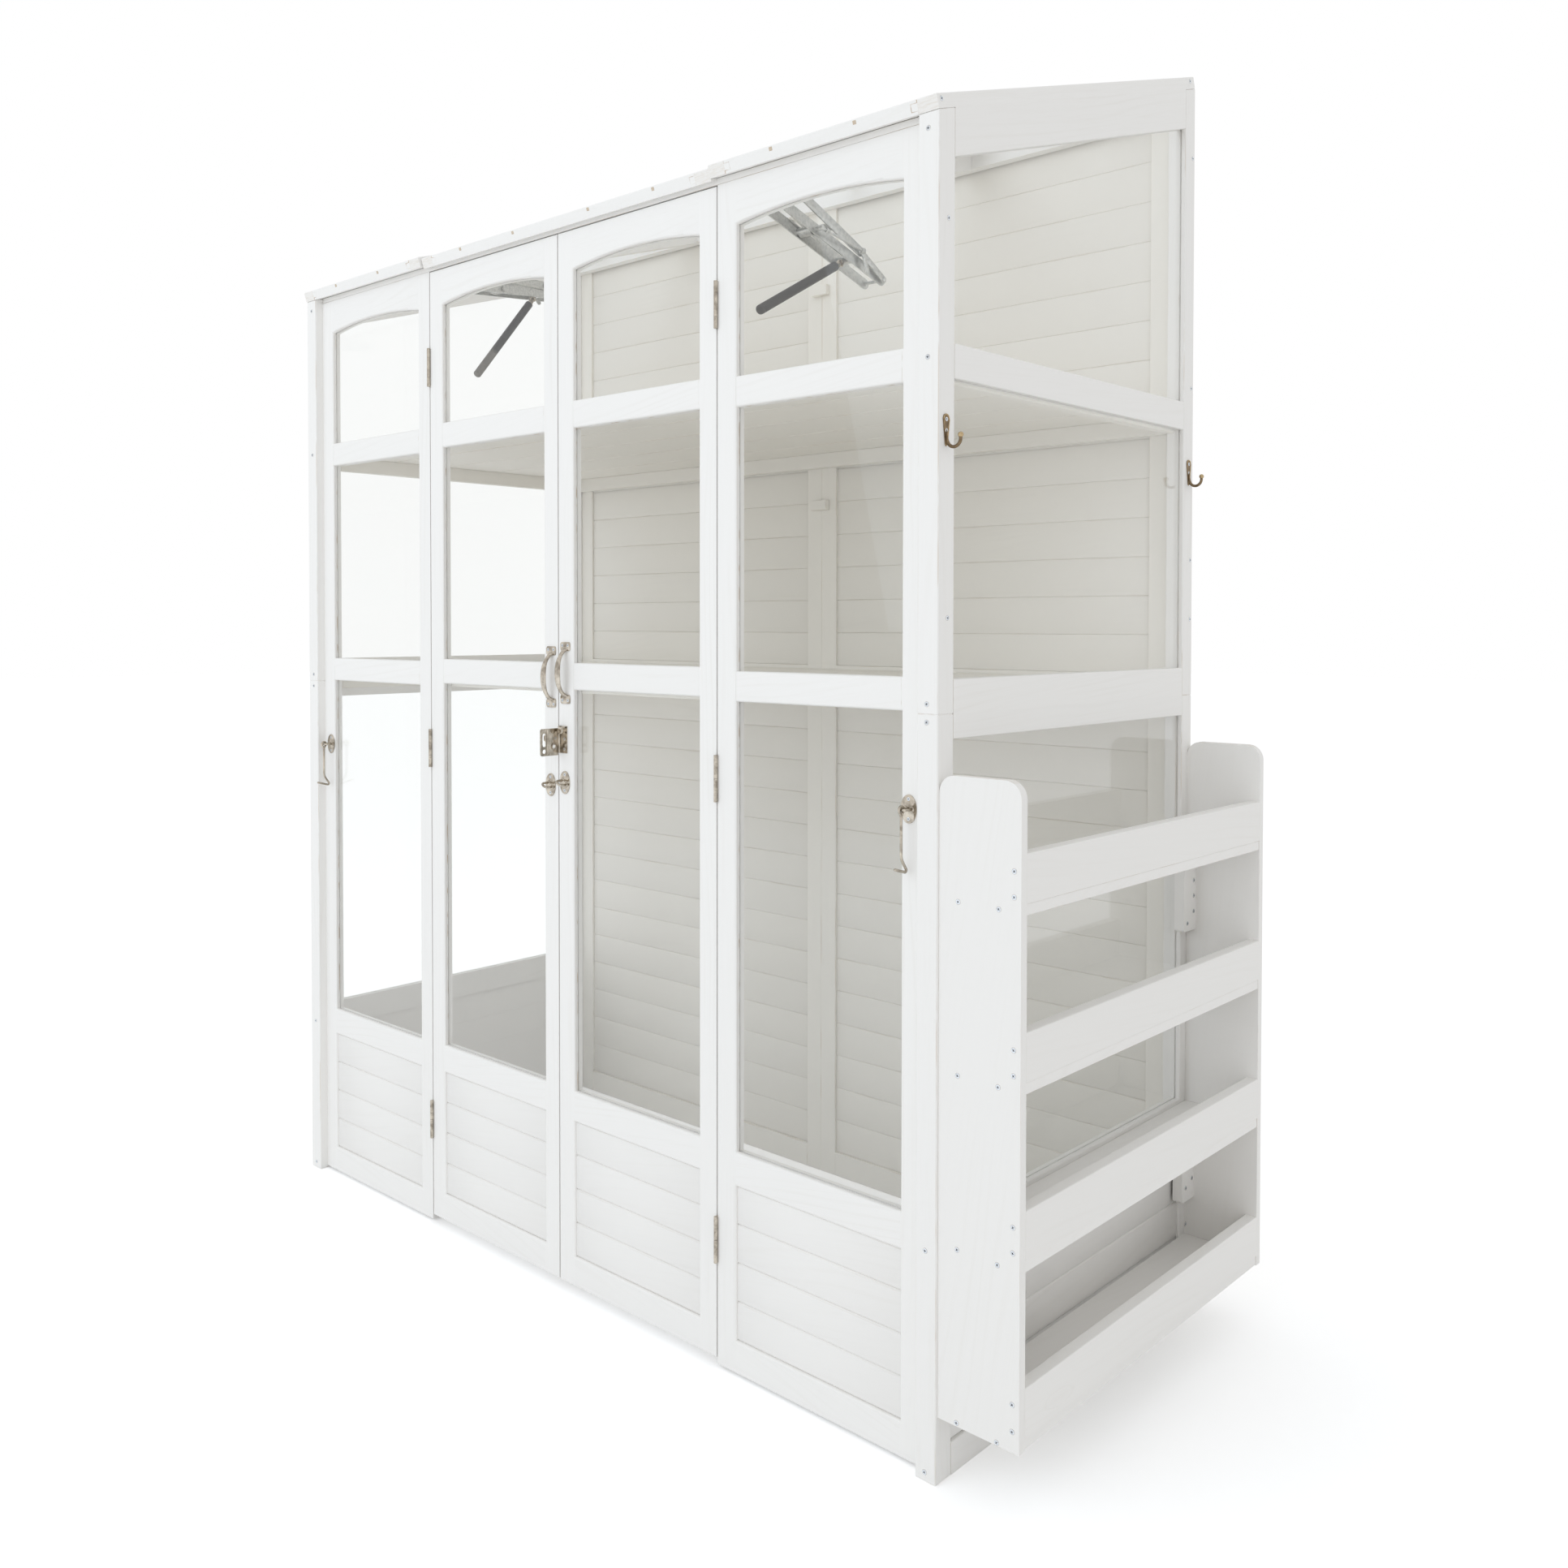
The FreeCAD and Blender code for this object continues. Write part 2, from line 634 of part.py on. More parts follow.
class Light:
    """A glazed roof frame: side stiles and end rails round one sheet, bars under and over it."""

    def __init__(self, x0, x1, s0, s1, n0, bars):
        self.x0 = x0
        self.x1 = x1
        self.s0 = s0
        self.s1 = s1
        self.n0 = n0
        self.bars = bars

    def frame(self):
        n0, n1 = self.n0, self.n0 + ROOF_T
        in_x0, in_x1 = self.x0 + ROOF_STILE, self.x1 - ROOF_STILE
        in_s0, in_s1 = self.s0 + ROOF_RAIL, self.s1 - ROOF_RAIL
        pieces = [
            box(self.x0, in_x0, self.s0, self.s1, n0, n1),
            box(in_x1, self.x1, self.s0, self.s1, n0, n1),
            box(in_x0, in_x1, self.s0, in_s0, n0, n1),
            box(in_x0, in_x1, in_s1, self.s1, n0, n1),
        ]
        g0 = n0 + ROOF_GLASS_LIFT
        g1 = g0 + GLASS_T
        groove = box(in_x0 - GROOVE_DEPTH, in_x1 + GROOVE_DEPTH, in_s0 - GROOVE_DEPTH, in_s1 + GROOVE_DEPTH, g0, g1)
        pieces = [round_edges(piece, ARRIS / 2, self.is_top_rim).cut(groove) for piece in pieces]
        for x in self.bars:
            pieces.append(box(x - ROOF_BAR / 2, x + ROOF_BAR / 2, in_s0, in_s1, n0, g0))
            pieces.append(box(x - ROOF_BAR / 2, x + ROOF_BAR / 2, in_s0, in_s1, g1, n1))
        return on_roof(Part.makeCompound(solids(pieces)))

    def is_top_rim(self, edge):
        size = edge.BoundBox
        on_top = size.ZMin > self.n0 + ROOF_T - 0.01
        on_side = abs(size.Center.x - self.x0) < 0.01 or abs(size.Center.x - self.x1) < 0.01
        on_end = size.YLength < 0.01 and (abs(size.Center.y - self.s0) < 0.01)
        return on_top and (on_side or on_end)

    def glass(self):
        reach = GROOVE_DEPTH - GROOVE_EASE
        g0 = self.n0 + ROOF_GLASS_LIFT
        sheet = box(self.x0 + ROOF_STILE - reach, self.x1 - ROOF_STILE + reach,
                    self.s0 + ROOF_RAIL - reach, self.s1 - ROOF_RAIL + reach, g0, g0 + GLASS_T)
        return on_roof(sheet)


def bar_positions(x0, x1, shares):
    return [x0 + share * (x1 - x0) for share in shares]


def make_roof():
    edge = OPENING_HALF - DOOR_GAP / 2
    middle = Light(-edge, edge, MIDDLE_SETBACK, ROOF_LENGTH, -MIDDLE_DROP,
                   bar_positions(-edge, edge, (0.158, 0.366, 0.634, 0.842)))
    save("roof_middle_frame", middle.frame())
    save("roof_middle_glass", middle.glass())
    lid_x0 = OPENING_HALF + DOOR_GAP / 2
    lid = Light(lid_x0, HALF, -LID_OVERHANG, ROOF_LENGTH, 0, bar_positions(lid_x0, HALF, (0.32, 0.68)))
    save("right_lid_frame", lid.frame())
    save("left_lid_frame", mirror(lid.frame()))
    save("right_lid_glass", lid.glass())
    save("left_lid_glass", mirror(lid.glass()))


# Shelves inside

def shelf(top):
    y0 = PANEL_BACK + BEARER_T
    y1 = BACK_Y
    width = (y1 - y0 - (SHELF_BOARDS - 1) * SHELF_GAP) / SHELF_BOARDS
    boards = []
    for row in range(SHELF_BOARDS):
        a = y0 + row * (width + SHELF_GAP)
        boards.append(box(-SIDE_IN, SIDE_IN, a, a + width, top - SHELF_T, top))
    return corner_posts_cut(Part.makeCompound(boards))


def corner_posts_cut(shape):
    """The deck's back corners are notched round the rear posts."""
    notch = box(HALF - POST_FACE, HALF, BACK_POST_Y, DEPTH, 0, 2 * EAVES_HEIGHT)
    pieces = []
    for solid in shape.Solids:
        pieces.append(solid.cut(notch).cut(mirror(notch)))
    return Part.makeCompound(solids(pieces))


def bearers(top):
    z0, z1 = top - SHELF_T - BEARER_H, top - SHELF_T
    x1 = SIDE_IN
    x0 = x1 - BEARER_T
    front_y = PANEL_BACK + GROOVE_EASE
    pieces = [
        box(x0, x1, front_y + BEARER_T, BACK_POST_Y, z0, z1),
        box(-x1, -x0, front_y + BEARER_T, BACK_POST_Y, z0, z1),
        box(-x1, x1, front_y, front_y + BEARER_T, z0, z1),
        box(-x0, x0, BACK_Y - BEARER_T, BACK_Y, z0, z1),
    ]
    return pieces


def make_shelves():
    tops = (SPLIT_HEIGHT + SHELF_RISE, UPPER_MID_Z + MID_RAIL - SHELF_T / 2)
    save("lower_shelf", shelf(tops[0]))
    save("upper_shelf", shelf(tops[1]))
    pieces = [piece for top in tops for piece in bearers(top)]
    save("shelf_bearers", corner_posts_cut(Part.makeCompound(pieces)))


# Rack on the right side wall

def rack_board(y0):
    x0, x1 = HALF, HALF + RACK_DEPTH
    blank = box(x0, x1, y0, y0 + RACK_BOARD_T, RACK_Z0, RACK_Z1)
    return round_edges(blank, RACK_CORNER, lambda edge: edge.BoundBox.ZMin > RACK_Z1 - 0.01
                       and edge.BoundBox.XLength < 0.01)


def rack_far_y():
    return DEPTH - RACK_BOARD_T


def rack_tops():
    first = RACK_Z0 + RACK_SHELF_T + 1
    return [first + level * RACK_PITCH for level in range(RACK_LEVELS)]


def make_rack():
    y0 = RACK_FRONT_Y + RACK_BOARD_T
    y1 = rack_far_y()
    x1 = HALF + RACK_DEPTH
    save("rack_sides", Part.makeCompound([rack_board(RACK_FRONT_Y), rack_board(y1)]))
    shelves = [box(HALF, x1 - 1, y0, y1, top - RACK_SHELF_T, top) for top in rack_tops()]
    save("rack_shelves", Part.makeCompound(shelves))
    rails = []
    for top in rack_tops():
        rail = box(x1 - RACK_RAIL_T, x1, y0, y1, top, top + RACK_RAIL_H)
        rails.append(round_edges(rail, ARRIS / 2, lambda edge: edge.BoundBox.YLength > 2 * STRIP_W
                                 and edge.BoundBox.ZMin > top + 1))
    save("rack_rails", Part.makeCompound(rails))
    strips = []
    for level in (1, 3):
        z1 = rack_tops()[level] - RACK_SHELF_T
        strips.append(rack_strip(y1 - STRIP_W, z1))
        strips.append(rack_strip(y0, z1))
    save("rack_strips", Part.makeCompound(strips))


def rack_strip(y0, z1):
    blank = box(HALF, HALF + STRIP_T, y0, y0 + STRIP_W, z1 - STRIP_H, z1)
    return round_edges(blank, ARRIS, lambda edge: edge.BoundBox.ZMax < z1 - STRIP_H + 0.01
                       and edge.BoundBox.YLength < 0.01)


# Door hinges: the leaves lie in the gap, only the barrel shows

def knuckle(z0, index, bore):
    height = HINGE_H / KNUCKLES
    low = z0 + index * height + KNUCKLE_GAP / 2
    tube = Part.makeCylinder(KNUCKLE_R, height - KNUCKLE_GAP, Vector(PIVOT_X, PIVOT_Y, low))
    if bore:
        hole = Part.makeCylinder(PIN_R + PIN_FIT, height, Vector(PIVOT_X, PIVOT_Y, low - 0.1))
        tube = tube.cut(hole)
    return tube


def hinge_leaf(z0, first, x0, bore):
    """A leaf in the gap with every second knuckle and the tabs that join them."""
    height = HINGE_H / KNUCKLES
    pieces = [box(x0, x0 + LEAF_T, PANEL_Y, PANEL_BACK - 1, z0, z0 + HINGE_H)]
    clear = PIN_R + PIN_FIT if bore else 0
    for index in range(first, KNUCKLES, 2):
        low = z0 + index * height + KNUCKLE_GAP / 2
        pieces.append(knuckle(z0, index, bore))
        pieces.append(box(x0, x0 + LEAF_T, PIVOT_Y + clear + 0.2, PANEL_Y, low, low + height - KNUCKLE_GAP))
    return join(pieces)


def make_door_hinges():
    fixed = []
    moving = []
    for centre in HINGE_CENTRES:
        z0 = centre - HINGE_H / 2
        leaf = hinge_leaf(z0, 1, OPENING_HALF - LEAF_T, False)
        pin = Part.makeCylinder(PIN_R, HINGE_H, Vector(PIVOT_X, PIVOT_Y, z0))
        fixed.append(join([leaf, pin]))
        moving.append(hinge_leaf(z0, 0, OPENING_HALF - DOOR_GAP, True))
    save("door_hinge_pins", both(Part.makeCompound(fixed)))
    save("right_door_hinge_leaves", Part.makeCompound(moving))
    save("left_door_hinge_leaves", mirror(Part.makeCompound(moving)))


# Door furniture

def handle_grip(x, z):
    """A bow between the end plates, wider in the middle than at its feet."""
    half = HANDLE_SPAN / 2
    y0 = PANEL_Y - PLATE_T
    tip = PANEL_Y - HANDLE_REACH
    t = HANDLE_GRIP_T
    outer = [Vector(0, y0, -half), Vector(0, tip, 0), Vector(0, y0, half)]
    inner = [Vector(0, y0, half - t), Vector(0, tip + t, 0), Vector(0, y0, t - half)]
    ring = [arc(*outer), line(outer[2], inner[0]), arc(*inner), line(inner[2], outer[0])]
    strap = Part.Face(Part.Wire(ring)).extrude(Vector(HANDLE_MID_W, 0, 0))
    strap.translate(Vector(-HANDLE_MID_W / 2, 0, 0))
    e, m = HANDLE_END_W / 2, HANDLE_MID_W / 2
    y = tip - 1
    side = [arc(Vector(-e, y, -half), Vector(-m, y, 0), Vector(-e, y, half)),
            line(Vector(-e, y, half), Vector(e, y, half)),
            arc(Vector(e, y, half), Vector(m, y, 0), Vector(e, y, -half)),
            line(Vector(e, y, -half), Vector(-e, y, -half))]
    strap = strap.common(prism_y(side, HANDLE_REACH + 1))
    strap.translate(Vector(x, 0, z))
    return strap


def make_handles():
    for name, x, z in (("right_handle", HANDLE_X, RIGHT_HANDLE_Z), ("left_handle", -HANDLE_X, LEFT_HANDLE_Z)):
        pieces = [handle_grip(x, z)]
        for end in (-1, 1):
            mid = z + end * HANDLE_SPAN / 2
            plate = box(x - HANDLE_PLATE_W / 2, x + HANDLE_PLATE_W / 2, PANEL_Y - PLATE_T, PANEL_Y,
                        mid - HANDLE_PLATE_H / 2, mid + HANDLE_PLATE_H / 2)
            pieces.append(round_edges(plate, HANDLE_PLATE_H / 7, upright_corner))
        save(name, join(pieces))


def upright_corner(edge):
    size = edge.BoundBox
    return size.XLength < 0.01 and size.ZLength < 0.01


def oval_plate(x, z):
    w, h = EYE_PLATE_W / 2, EYE_PLATE_H / 2
    y = PANEL_Y - PLATE_T
    ring = [arc(Vector(x, y, z - h), Vector(x + w, y, z), Vector(x, y, z + h)),
            arc(Vector(x, y, z + h), Vector(x - w, y, z), Vector(x, y, z - h))]
    ellipse = Part.Ellipse(Vector(x, y, z + h), Vector(x + w, y, z), Vector(x, y, z))
    outline = [ellipse.toShape()] if h > w else ring
    return prism_y(outline, PLATE_T)


def eye_ring(x, z):
    """A wire staple standing off its plate, closed by a half ring."""
    y_bend = PANEL_Y - EYE_LEG
    root = PANEL_Y - PLATE_T / 2
    bend = [Vector(x + across, y_bend - out, z) for across, out in half_ring(EYE_RING_R, RING_CORNERS)]
    return wire([Vector(x + EYE_RING_R, root, z)] + bend + [Vector(x - EYE_RING_R, root, z)], EYE_WIRE_R)


def eye(x, z):
    return join([oval_plate(x, z), eye_ring(x, z)])


def make_eyes():
    save("left_door_eye", eye(LEFT_EYE_X, LEFT_EYE_Z))
    save("right_door_eye", eye(RIGHT_EYE_X, RIGHT_EYE_Z))
    save("hook_plates", both(eye(HOOK_X, HOOK_Z)))


def gate_hook():
    """A wire hook hanging from its eye, kicked back and turned out at the foot."""
    y = RING_Y
    start = Vector(HOOK_X - HOOK_WIRE_R, y, HOOK_Z)
    axis = Vector(1, 0, 0)
    loop = Part.makeCylinder(HOOK_LOOP_R + HOOK_WIRE_R, 2 * HOOK_WIRE_R, start, axis)
    loop = loop.cut(Part.makeCylinder(HOOK_LOOP_R - HOOK_WIRE_R, 2 * HOOK_WIRE_R, start, axis))
    rise = HOOK_TIP / 4
    low = HOOK_Z - HOOK_END_DROP
    points = [Vector(HOOK_X, y, HOOK_Z - HOOK_LOOP_R),
              Vector(HOOK_X, y, HOOK_Z - HOOK_DROP),
              Vector(HOOK_X, y + HOOK_KICK, low + rise / 2),
              Vector(HOOK_X, y + HOOK_KICK - HOOK_WIRE_R, low),
              Vector(HOOK_X, y + HOOK_KICK - HOOK_TIP, low + rise)]
    return join([loop, wire(points, HOOK_WIRE_R)])


def make_hooks():
    hook = gate_hook()
    save("right_gate_hook", hook)
    save("left_gate_hook", mirror(hook))


def hasp_knuckle(index, r, bore):
    """One third of the hasp's upright barrel."""
    height = HASP_H / 3
    low = Vector(HASP_X, HASP_Y, HASP_Z - HASP_H / 2 + index * height + KNUCKLE_GAP / 2)
    tube = Part.makeCylinder(r, height - KNUCKLE_GAP, low)
    return tube.cut(Part.makeCylinder(PIN_R + PIN_FIT, height, low)) if bore else tube


def make_hasp():
    z0, z1 = HASP_Z - HASP_H / 2, HASP_Z + HASP_H / 2
    y0 = PANEL_Y - PLATE_T
    clear = HASP_X + HASP_BARREL_R + 2 * KNUCKLE_GAP
    plate = box(clear, clear + HASP_PLATE_W, y0, PANEL_Y, z0, z1)
    pieces = [plate, Part.makeCylinder(PIN_R, HASP_H, Vector(HASP_X, HASP_Y, z0))]
    for index in (0, 2):
        low = z0 + index * HASP_H / 3 + KNUCKLE_GAP / 2
        pieces.append(hasp_knuckle(index, HASP_BARREL_R, False))
        pieces.append(box(HASP_X, clear, y0, HASP_Y + HASP_BARREL_R, low, low + HASP_H / 3 - KNUCKLE_GAP))
    knob_x = clear + HASP_PLATE_W / 2
    knob_z = z1 - HASP_KNOB_R - 1
    neck_y = y0 - HASP_KNOB_R
    pieces.append(rod(Vector(knob_x, y0, knob_z), Vector(knob_x, neck_y, knob_z), HASP_KNOB_R / 2))
    knob = rod(Vector(knob_x, neck_y, knob_z), Vector(knob_x, neck_y - HASP_KNOB_R / 2, knob_z), HASP_KNOB_R)
    rim = [edge for edge in knob.Edges if edge.BoundBox.YMax < neck_y - HASP_KNOB_R / 4]
    pieces.append(knob.makeChamfer(HASP_KNOB_R / 6, rim))
    save("hasp_base", join(pieces))
    save("hasp_leaf", hasp_leaf(z0, z1))
    save("hasp_staple", hasp_staple())


def hasp_leaf(z0, z1):
    """The slotted leaf, stored standing out from the door."""
    x0, x1 = HASP_X - PLATE_T / 2, HASP_X + PLATE_T / 2
    tip = HASP_Y - HASP_REACH
    root = HASP_Y - HASP_BARREL_R - 2 * KNUCKLE_GAP
    blade = box(x0, x1, tip, root, z0 - HASP_LEAF_DROP, z1 - HASP_LEAF_DROP)
    blade = round_edges(blade, HASP_CORNER, lambda edge: edge.BoundBox.YMax < tip + 0.01
                        and edge.BoundBox.ZLength < 0.01)
    slot_y = HASP_Y - HASP_SLOT_AT
    half = HASP_SLOT_W / 2
    low = HASP_Z - HASP_SLOT_H / 2 + half
    high = HASP_Z + HASP_SLOT_H / 2 - half
    blade = blade.cut(box(x0 - 1, x1 + 1, slot_y - half, slot_y + half, low, high))
    for z in (low, high):
        blade = blade.cut(rod(Vector(x0 - 1, slot_y, z), Vector(x1 + 1, slot_y, z), half))
    eye_z = z0 + HASP_LEAF_DROP
    blade = blade.cut(rod(Vector(x0 - 1, slot_y, eye_z), Vector(x1 + 1, slot_y, eye_z), half))
    rib_y = slot_y + HASP_SLOT_W
    rib = Part.makeCylinder(PLATE_T, HASP_H - HASP_LEAF_DROP, Vector(x1, rib_y, z0 - HASP_LEAF_DROP / 2))
    ring_y = rib_y + 2 * HASP_SLOT_W - PLATE_T
    ring_z = z0 + HASP_H / 4
    ring = rod(Vector(x1 - 0.5, ring_y, ring_z), Vector(x1 + PLATE_T, ring_y, ring_z), HASP_SLOT_W * 0.75)
    height = HASP_H / 3
    web_z = z0 + height + KNUCKLE_GAP / 2
    web = box(x0, x1, root - 1, HASP_Y - PIN_R - PIN_FIT, web_z, web_z + height - KNUCKLE_GAP)
    leaf = join([blade, rib, ring, web, hasp_knuckle(1, HASP_BARREL_R, True)])
    through = rod(Vector(x0 - 1, ring_y, ring_z), Vector(x1 + 2 * PLATE_T, ring_y, ring_z), HASP_SLOT_W * 0.45)
    return leaf.cut(through)


def hasp_staple():
    """A plate and a wire loop that the slot of the closed leaf drops over."""
    x = HASP_X - HASP_SLOT_AT
    y0 = PANEL_Y - PLATE_T
    h = HASP_SLOT_H / 2 + PLATE_T
    pieces = [box(x - HASP_SLOT_W, x + HASP_SLOT_W, y0, PANEL_Y, HASP_Z - h, HASP_Z + h)]
    bend = HASP_STAPLE_H / 2 - HASP_STAPLE_R
    y_bend = y0 - HASP_STAPLE_OUT + bend + HASP_STAPLE_R
    root = PANEL_Y - PLATE_T / 2
    arch = [Vector(x, y_bend - out, HASP_Z + up) for up, out in half_ring(bend, RING_CORNERS)]
    pieces.append(wire([Vector(x, root, HASP_Z + bend)] + arch + [Vector(x, root, HASP_Z - bend)], HASP_STAPLE_R))
    return join(pieces)


def make_coat_hooks():
    hooks = []
    for y in (POST_DEPTH * 0.5, DEPTH - POST_FACE * 0.5):
        plate = box(HALF, HALF + PLATE_T, y - COAT_PLATE_W / 2, y + COAT_PLATE_W / 2,
                    COAT_Z - COAT_PLATE_H / 2, COAT_Z + COAT_PLATE_H / 2)
        plate = round_edges(plate, COAT_PLATE_W / 2 - 0.2, lambda edge: edge.BoundBox.YLength < 0.01
                            and edge.BoundBox.ZLength < 0.01)
        back_x = HALF + PLATE_T + COAT_WIRE_R / 2
        x = back_x + COAT_R
        z = COAT_Z - COAT_PLATE_H / 2 + COAT_R / 2
        top = Vector(x + COAT_R, y, z + COAT_R / 2)
        bend = [Vector(x + across, y, z - out) for across, out in half_ring(COAT_R, COAT_CORNERS)]
        shank = wire([top] + bend + [Vector(back_x, y, COAT_Z + COAT_R / 2)], COAT_WIRE_R)
        ball = Part.makeCylinder(COAT_BALL_R, 2 * COAT_BALL_R, top - Vector(0, 0, COAT_BALL_R))
        ball = ball.makeChamfer(COAT_BALL_R / 2, [edge for edge in ball.Edges if edge.BoundBox.ZLength < 0.01])
        hooks.append(join([plate, shank, ball]))
    save("coat_hooks", Part.makeCompound(hooks))


# Lid hinges on the back of the wall

def lid_hinge_xs():
    lid_x0 = OPENING_HALF + DOOR_GAP / 2
    return (lid_x0 + LID_HINGE_INSET, HALF - POST_FACE - LID_HINGE_INSET)


def lid_barrel(x0, x1, bore):
    centre = Vector(x0, LID_PIVOT_Y, LID_PIVOT_Z)
    tube = Part.makeCylinder(LID_BARREL_R, x1 - x0, centre, Vector(1, 0, 0))
    if bore:
        tube = tube.cut(Part.makeCylinder(PIN_R + PIN_FIT, x1 - x0, centre, Vector(1, 0, 0)))
    return tube


def make_lid_hinges():
    fixed = []
    moving = []
    third = LID_HINGE_W / 3
    for x in lid_hinge_xs():
        x0 = x - LID_HINGE_W / 2
        x1 = x + LID_HINGE_W / 2
        low = LID_PIVOT_Z - LID_LEAF_H
        leaf = box(x0, x1, DEPTH, DEPTH + PLATE_T, low, LID_PIVOT_Z - LID_BARREL_R - 0.6)
        tab = box(x0 + third + 0.2, x1 - third - 0.2, DEPTH, DEPTH + PLATE_T, low, LID_PIVOT_Z)
        barrel = lid_barrel(x0 + third + 0.2, x1 - third - 0.2, False)
        pin = Part.makeCylinder(PIN_R, LID_HINGE_W, Vector(x0, LID_PIVOT_Y, LID_PIVOT_Z), Vector(1, 0, 0))
        fixed.append(join([leaf, tab, barrel, pin]))
        flap = [on_roof(box(x0, x1, ROOF_LENGTH, ROOF_LENGTH + PLATE_T, PLATE_T, ROOF_T - 1))]
        for a, b in ((x0, x0 + third - 0.2), (x1 - third + 0.2, x1)):
            web_n1 = LID_PIVOT_N + LID_BARREL_R
            web = on_roof(box(a, b, ROOF_LENGTH, LID_PIVOT_S, 0.1, web_n1))
            bore = Part.makeCylinder(PIN_R + PIN_FIT, b - a, Vector(a, LID_PIVOT_Y, LID_PIVOT_Z), Vector(1, 0, 0))
            flap.append(web.cut(bore))
            flap.append(lid_barrel(a, b, True))
        moving.append(join(flap))
    save("lid_hinge_bases", both(Part.makeCompound(fixed)))
    save("right_lid_hinge_leaves", Part.makeCompound(moving))
    save("left_lid_hinge_leaves", mirror(Part.makeCompound(moving)))


# Automatic lid openers: a scissor of two pairs of flat arms, pushed by a cylinder

def opener_pivots(lid_y):
    """Where the two pairs of arms turn: on the eaves beam, on the lid and at the elbow."""
    ax, az = OPENER_Y, OPENER_Z
    cx = lid_y
    cz = roof_z(cx) - OPENER_LID_DROP
    mid_y, mid_z = (ax + cx) / 2, (az + cz) / 2
    gap = math.hypot(cx - ax, cz - az)
    reach = math.sqrt(OPENER_ARM ** 2 - (gap / 2) ** 2)
    by = mid_y + reach * (cz - az) / gap
    bz = mid_z - reach * (cx - ax) / gap
    return (ax, az), (cx, cz), (by, bz)


def flat_arm(a, b, x0, bore):
    """A flat strip on edge in the yz plane, round at both ends and bored at the first."""
    r = OPENER_ARM_W / 2
    start = Vector(x0, a[0], a[1])
    along = Vector(x0, b[0], b[1]).sub(start)
    length = along.Length
    strip = Part.makeBox(OPENER_ARM_T, length, 2 * r, Vector(0, 0, -r))
    ends = [Part.makeCylinder(r, OPENER_ARM_T, Vector(0, y, 0), Vector(1, 0, 0)) for y in (0, length)]
    strip = join([strip] + ends)
    strip = strip.cut(Part.makeCylinder(bore, OPENER_ARM_T, Vector(0, 0, 0), Vector(1, 0, 0)))
    strip.rotate(Vector(0, 0, 0), Vector(1, 0, 0), math.degrees(math.atan2(along.z, along.y)))
    strip.translate(start)
    return strip


def arm_pair(a, b, offset, bore):
    pair = []
    for x0 in (OPENER_X - offset - OPENER_ARM_T, OPENER_X + offset):
        pair.append(flat_arm(a, b, x0, bore))
    return pair


def axle(at, half, r):
    return rod(Vector(OPENER_X - half, at[0], at[1]), Vector(OPENER_X + half, at[0], at[1]), r)


def along_arm(a, b, distance):
    share = distance / math.hypot(b[0] - a[0], b[1] - a[1])
    return a[0] + share * (b[0] - a[0]), a[1] + share * (b[1] - a[1])


def opener_parts(lid_y):
    """The moving parts of the right opener, its lid arms turning under the lid at lid_y."""
    a, c, b = opener_pivots(lid_y)
    fit = OPENER_AXLE_R + PIN_FIT
    inner = OPENER_INNER
    outer = OPENER_OUTER
    edge = inner + OPENER_ARM_T
    far = outer + OPENER_ARM_T
    block_at = along_arm(a, b, CYLINDER_AT)
    base = arm_pair(a, b, inner, fit)
    base.append(axle(b, edge, OPENER_AXLE_R))
    base.append(axle(along_arm(a, b, SPRING_AT), inner + 0.5, SPACER_R))
    base.append(axle(block_at, inner + 0.5, OPENER_EYE_R))
    top = arm_pair(c, b, outer, fit)
    top.append(tie_plate(c, b))
    for x0 in (OPENER_X - far - PLATE_T, OPENER_X + far):
        top.append(rod(Vector(x0, b[0], b[1]), Vector(x0 + PLATE_T, b[0], b[1]), OPENER_EYE_R))
    return {
        "opener_lid_bracket": lid_bracket(c, far),
        "opener_base_arm": Part.makeCompound([join(base), spring(a, b)]),
        "opener_lid_arm": join(top),
        "opener_cylinder": cylinder(a, block_at),
    }


def make_openers():
    save("opener_brackets", both(eaves_bracket((OPENER_Y, OPENER_Z), OPENER_INNER + OPENER_ARM_T)))
    for name, shape in opener_parts(RIGHT_OPENER_LID_Y).items():
        save("right_" + name, shape)
    for name, shape in opener_parts(LEFT_OPENER_LID_Y).items():
        save("left_" + name, mirror(shape))


def spring_points():
    """Bend points of the coil, along x and round the spacer, each side clear of the spacer."""
    r = (SPACER_R + SPRING_SLACK + SPRING_WIRE_R) / math.cos(math.pi / SPRING_CORNERS)
    half = SPRING_TURNS * SPRING_PITCH / 2
    points = []
    for step in range(SPRING_TURNS * SPRING_CORNERS + 1):
        turn = step / SPRING_CORNERS
        angle = 2 * math.pi * turn
        points.append(Vector(turn * SPRING_PITCH - half, r * math.sin(angle), r * math.cos(angle)))
    return points


def spring(a, b):
    """A torsion spring on the spacer between the base arms, with a straight leg each way."""
    points = spring_points()
    tail = points[0].sub(Vector(0, SPRING_TAIL, 0))
    leg = points[-1].add(Vector(0, SPRING_LEG, 0))
    coil = wire([tail] + points + [leg], SPRING_WIRE_R)
    print("spring's least gap to itself", round(least_gap(points), 2))
    coil.rotate(Vector(0, 0, 0), Vector(1, 0, 0), math.degrees(math.atan2(b[1] - a[1], b[0] - a[0])))
    at = along_arm(a, b, SPRING_AT)
    coil.translate(Vector(OPENER_X, at[0], at[1]))
    return coil


